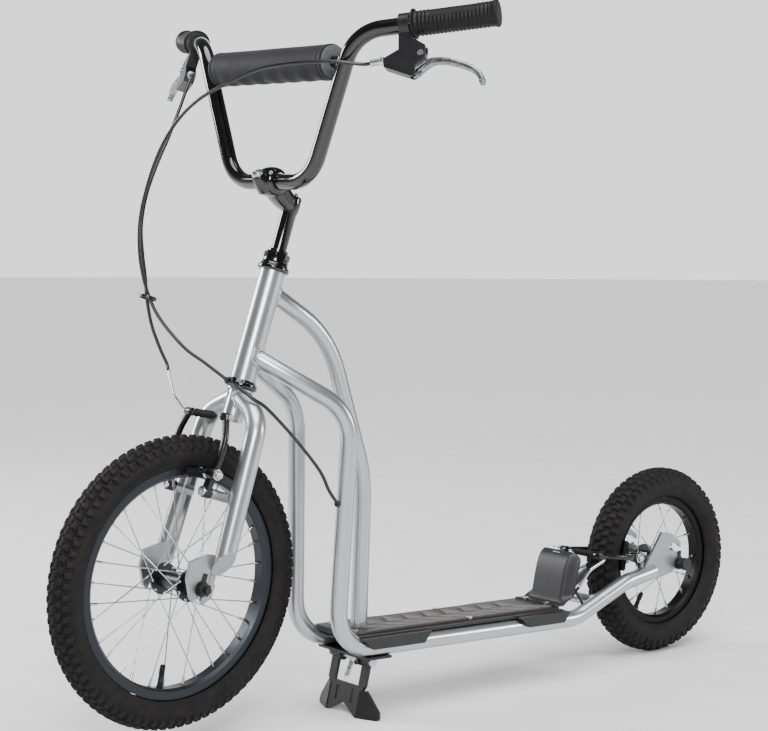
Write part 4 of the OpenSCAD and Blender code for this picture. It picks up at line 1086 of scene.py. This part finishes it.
# ---- floor, lights and camera ----
def pale_floor():
    """Matt off-white studio paper laid flat; its faint mottling is 80 mm across."""
    made, tree, shader, on = begin("studio_paper", Specular_IOR_Level=0.2)
    two_tone(tree, shader, grain(tree, on, 80), "#dcdcdd", "#e2e2e3")
    uneven(tree, shader, grain(tree, on, 40), 0.7, 0.85)
    return made


paper = bpy.data.meshes.new("studio_floor")
paper.from_pydata([(-50, -50, 0), (50, -50, 0), (50, 50, 0), (-50, 50, 0)], [], [(0, 1, 2, 3)])
paper.materials.append(pale_floor())
into_scene("studio_floor", paper)


def soft_light(name, kind, at, towards, size, power):
    """An area light of that size, or a sun of that angular size, at a point and facing another."""
    data = bpy.data.lights.new(name, kind)
    data.energy = power
    if kind == "SUN":
        data.angle = size
    else:
        data.size = size
    made = into_scene(name, data)
    back = unit(np.subtract(at, towards))
    right = unit(np.cross((0, 0.01, 1), back))
    m = axes_at(at, right, np.cross(back, right), back)
    made.matrix_world = Matrix(m.tolist())


soft_light("overhead_sun", "SUN", (0.5, 1.0, 4.0), (0, 0, 0), 0.9, 4.2)
soft_light("key_light", "AREA", (2.2, 2.6, 2.0), (0, 0, 0.4), 0.9, 85)
soft_light("left_light", "AREA", (-2.4, 2.2, 1.2), (0, 0, 0.4), 0.7, 40)
soft_light("back_light", "AREA", (1.6, -2.6, 1.6), (0, 0, 0.5), 1.2, 90)


def air():
    """Dim air all round, bright in a wide soft patch low behind the object, as a lit paper wall."""
    world = bpy.data.worlds.new("studio_air")
    world.use_nodes = True
    tree = world.node_tree
    toward = put(tree, "ShaderNodeTexCoord")
    facing = put(
        tree, "ShaderNodeVectorMath", {1: (-0.626, -0.78, 0.0)}, {0: (toward, "Generated")},
        operation="DOT_PRODUCT",
    )
    lit = put(
        tree, "ShaderNodeMapRange", {"From Min": 0.78, "From Max": 0.93, "To Min": 0.16, "To Max": 1.75},
        {"Value": (facing, "Value")}, interpolation_type="SMOOTHSTEP",
    )
    sky = tree.nodes["Background"]
    sky.inputs["Color"].default_value = linear("#f4f5f6")
    tree.links.new(lit.outputs["Result"], sky.inputs["Strength"])
    bpy.context.scene.world = world


air()


def camera():
    """The camera from its place in the level frame, its turn, dip and roll."""
    turn, dip, roll = np.radians((-128.74, 2.63, 1.46))
    d = np.array([np.cos(dip) * np.cos(turn), np.cos(dip) * np.sin(turn), -np.sin(dip)])
    right = unit(np.cross(d, (0, 0, 1)))
    up = np.cross(right, d)
    right, up = right * np.cos(roll) + up * np.sin(roll), up * np.cos(roll) - right * np.sin(roll)
    data = bpy.data.cameras.new("main_camera")
    data.sensor_width, data.lens, data.shift_x = 36, 79.73, -0.0017
    data.clip_start, data.clip_end = 0.05, 60
    made = into_scene("main_camera", data)
    spot = in_row([(1697.8, 1961.7, 608.5)], LEVEL)[0] * MM
    tilt = LEVEL[:3, :3]
    made.matrix_world = Matrix(axes_at(spot, tilt @ right, tilt @ up, tilt @ -d).tolist())
    bpy.context.scene.camera = made


camera()
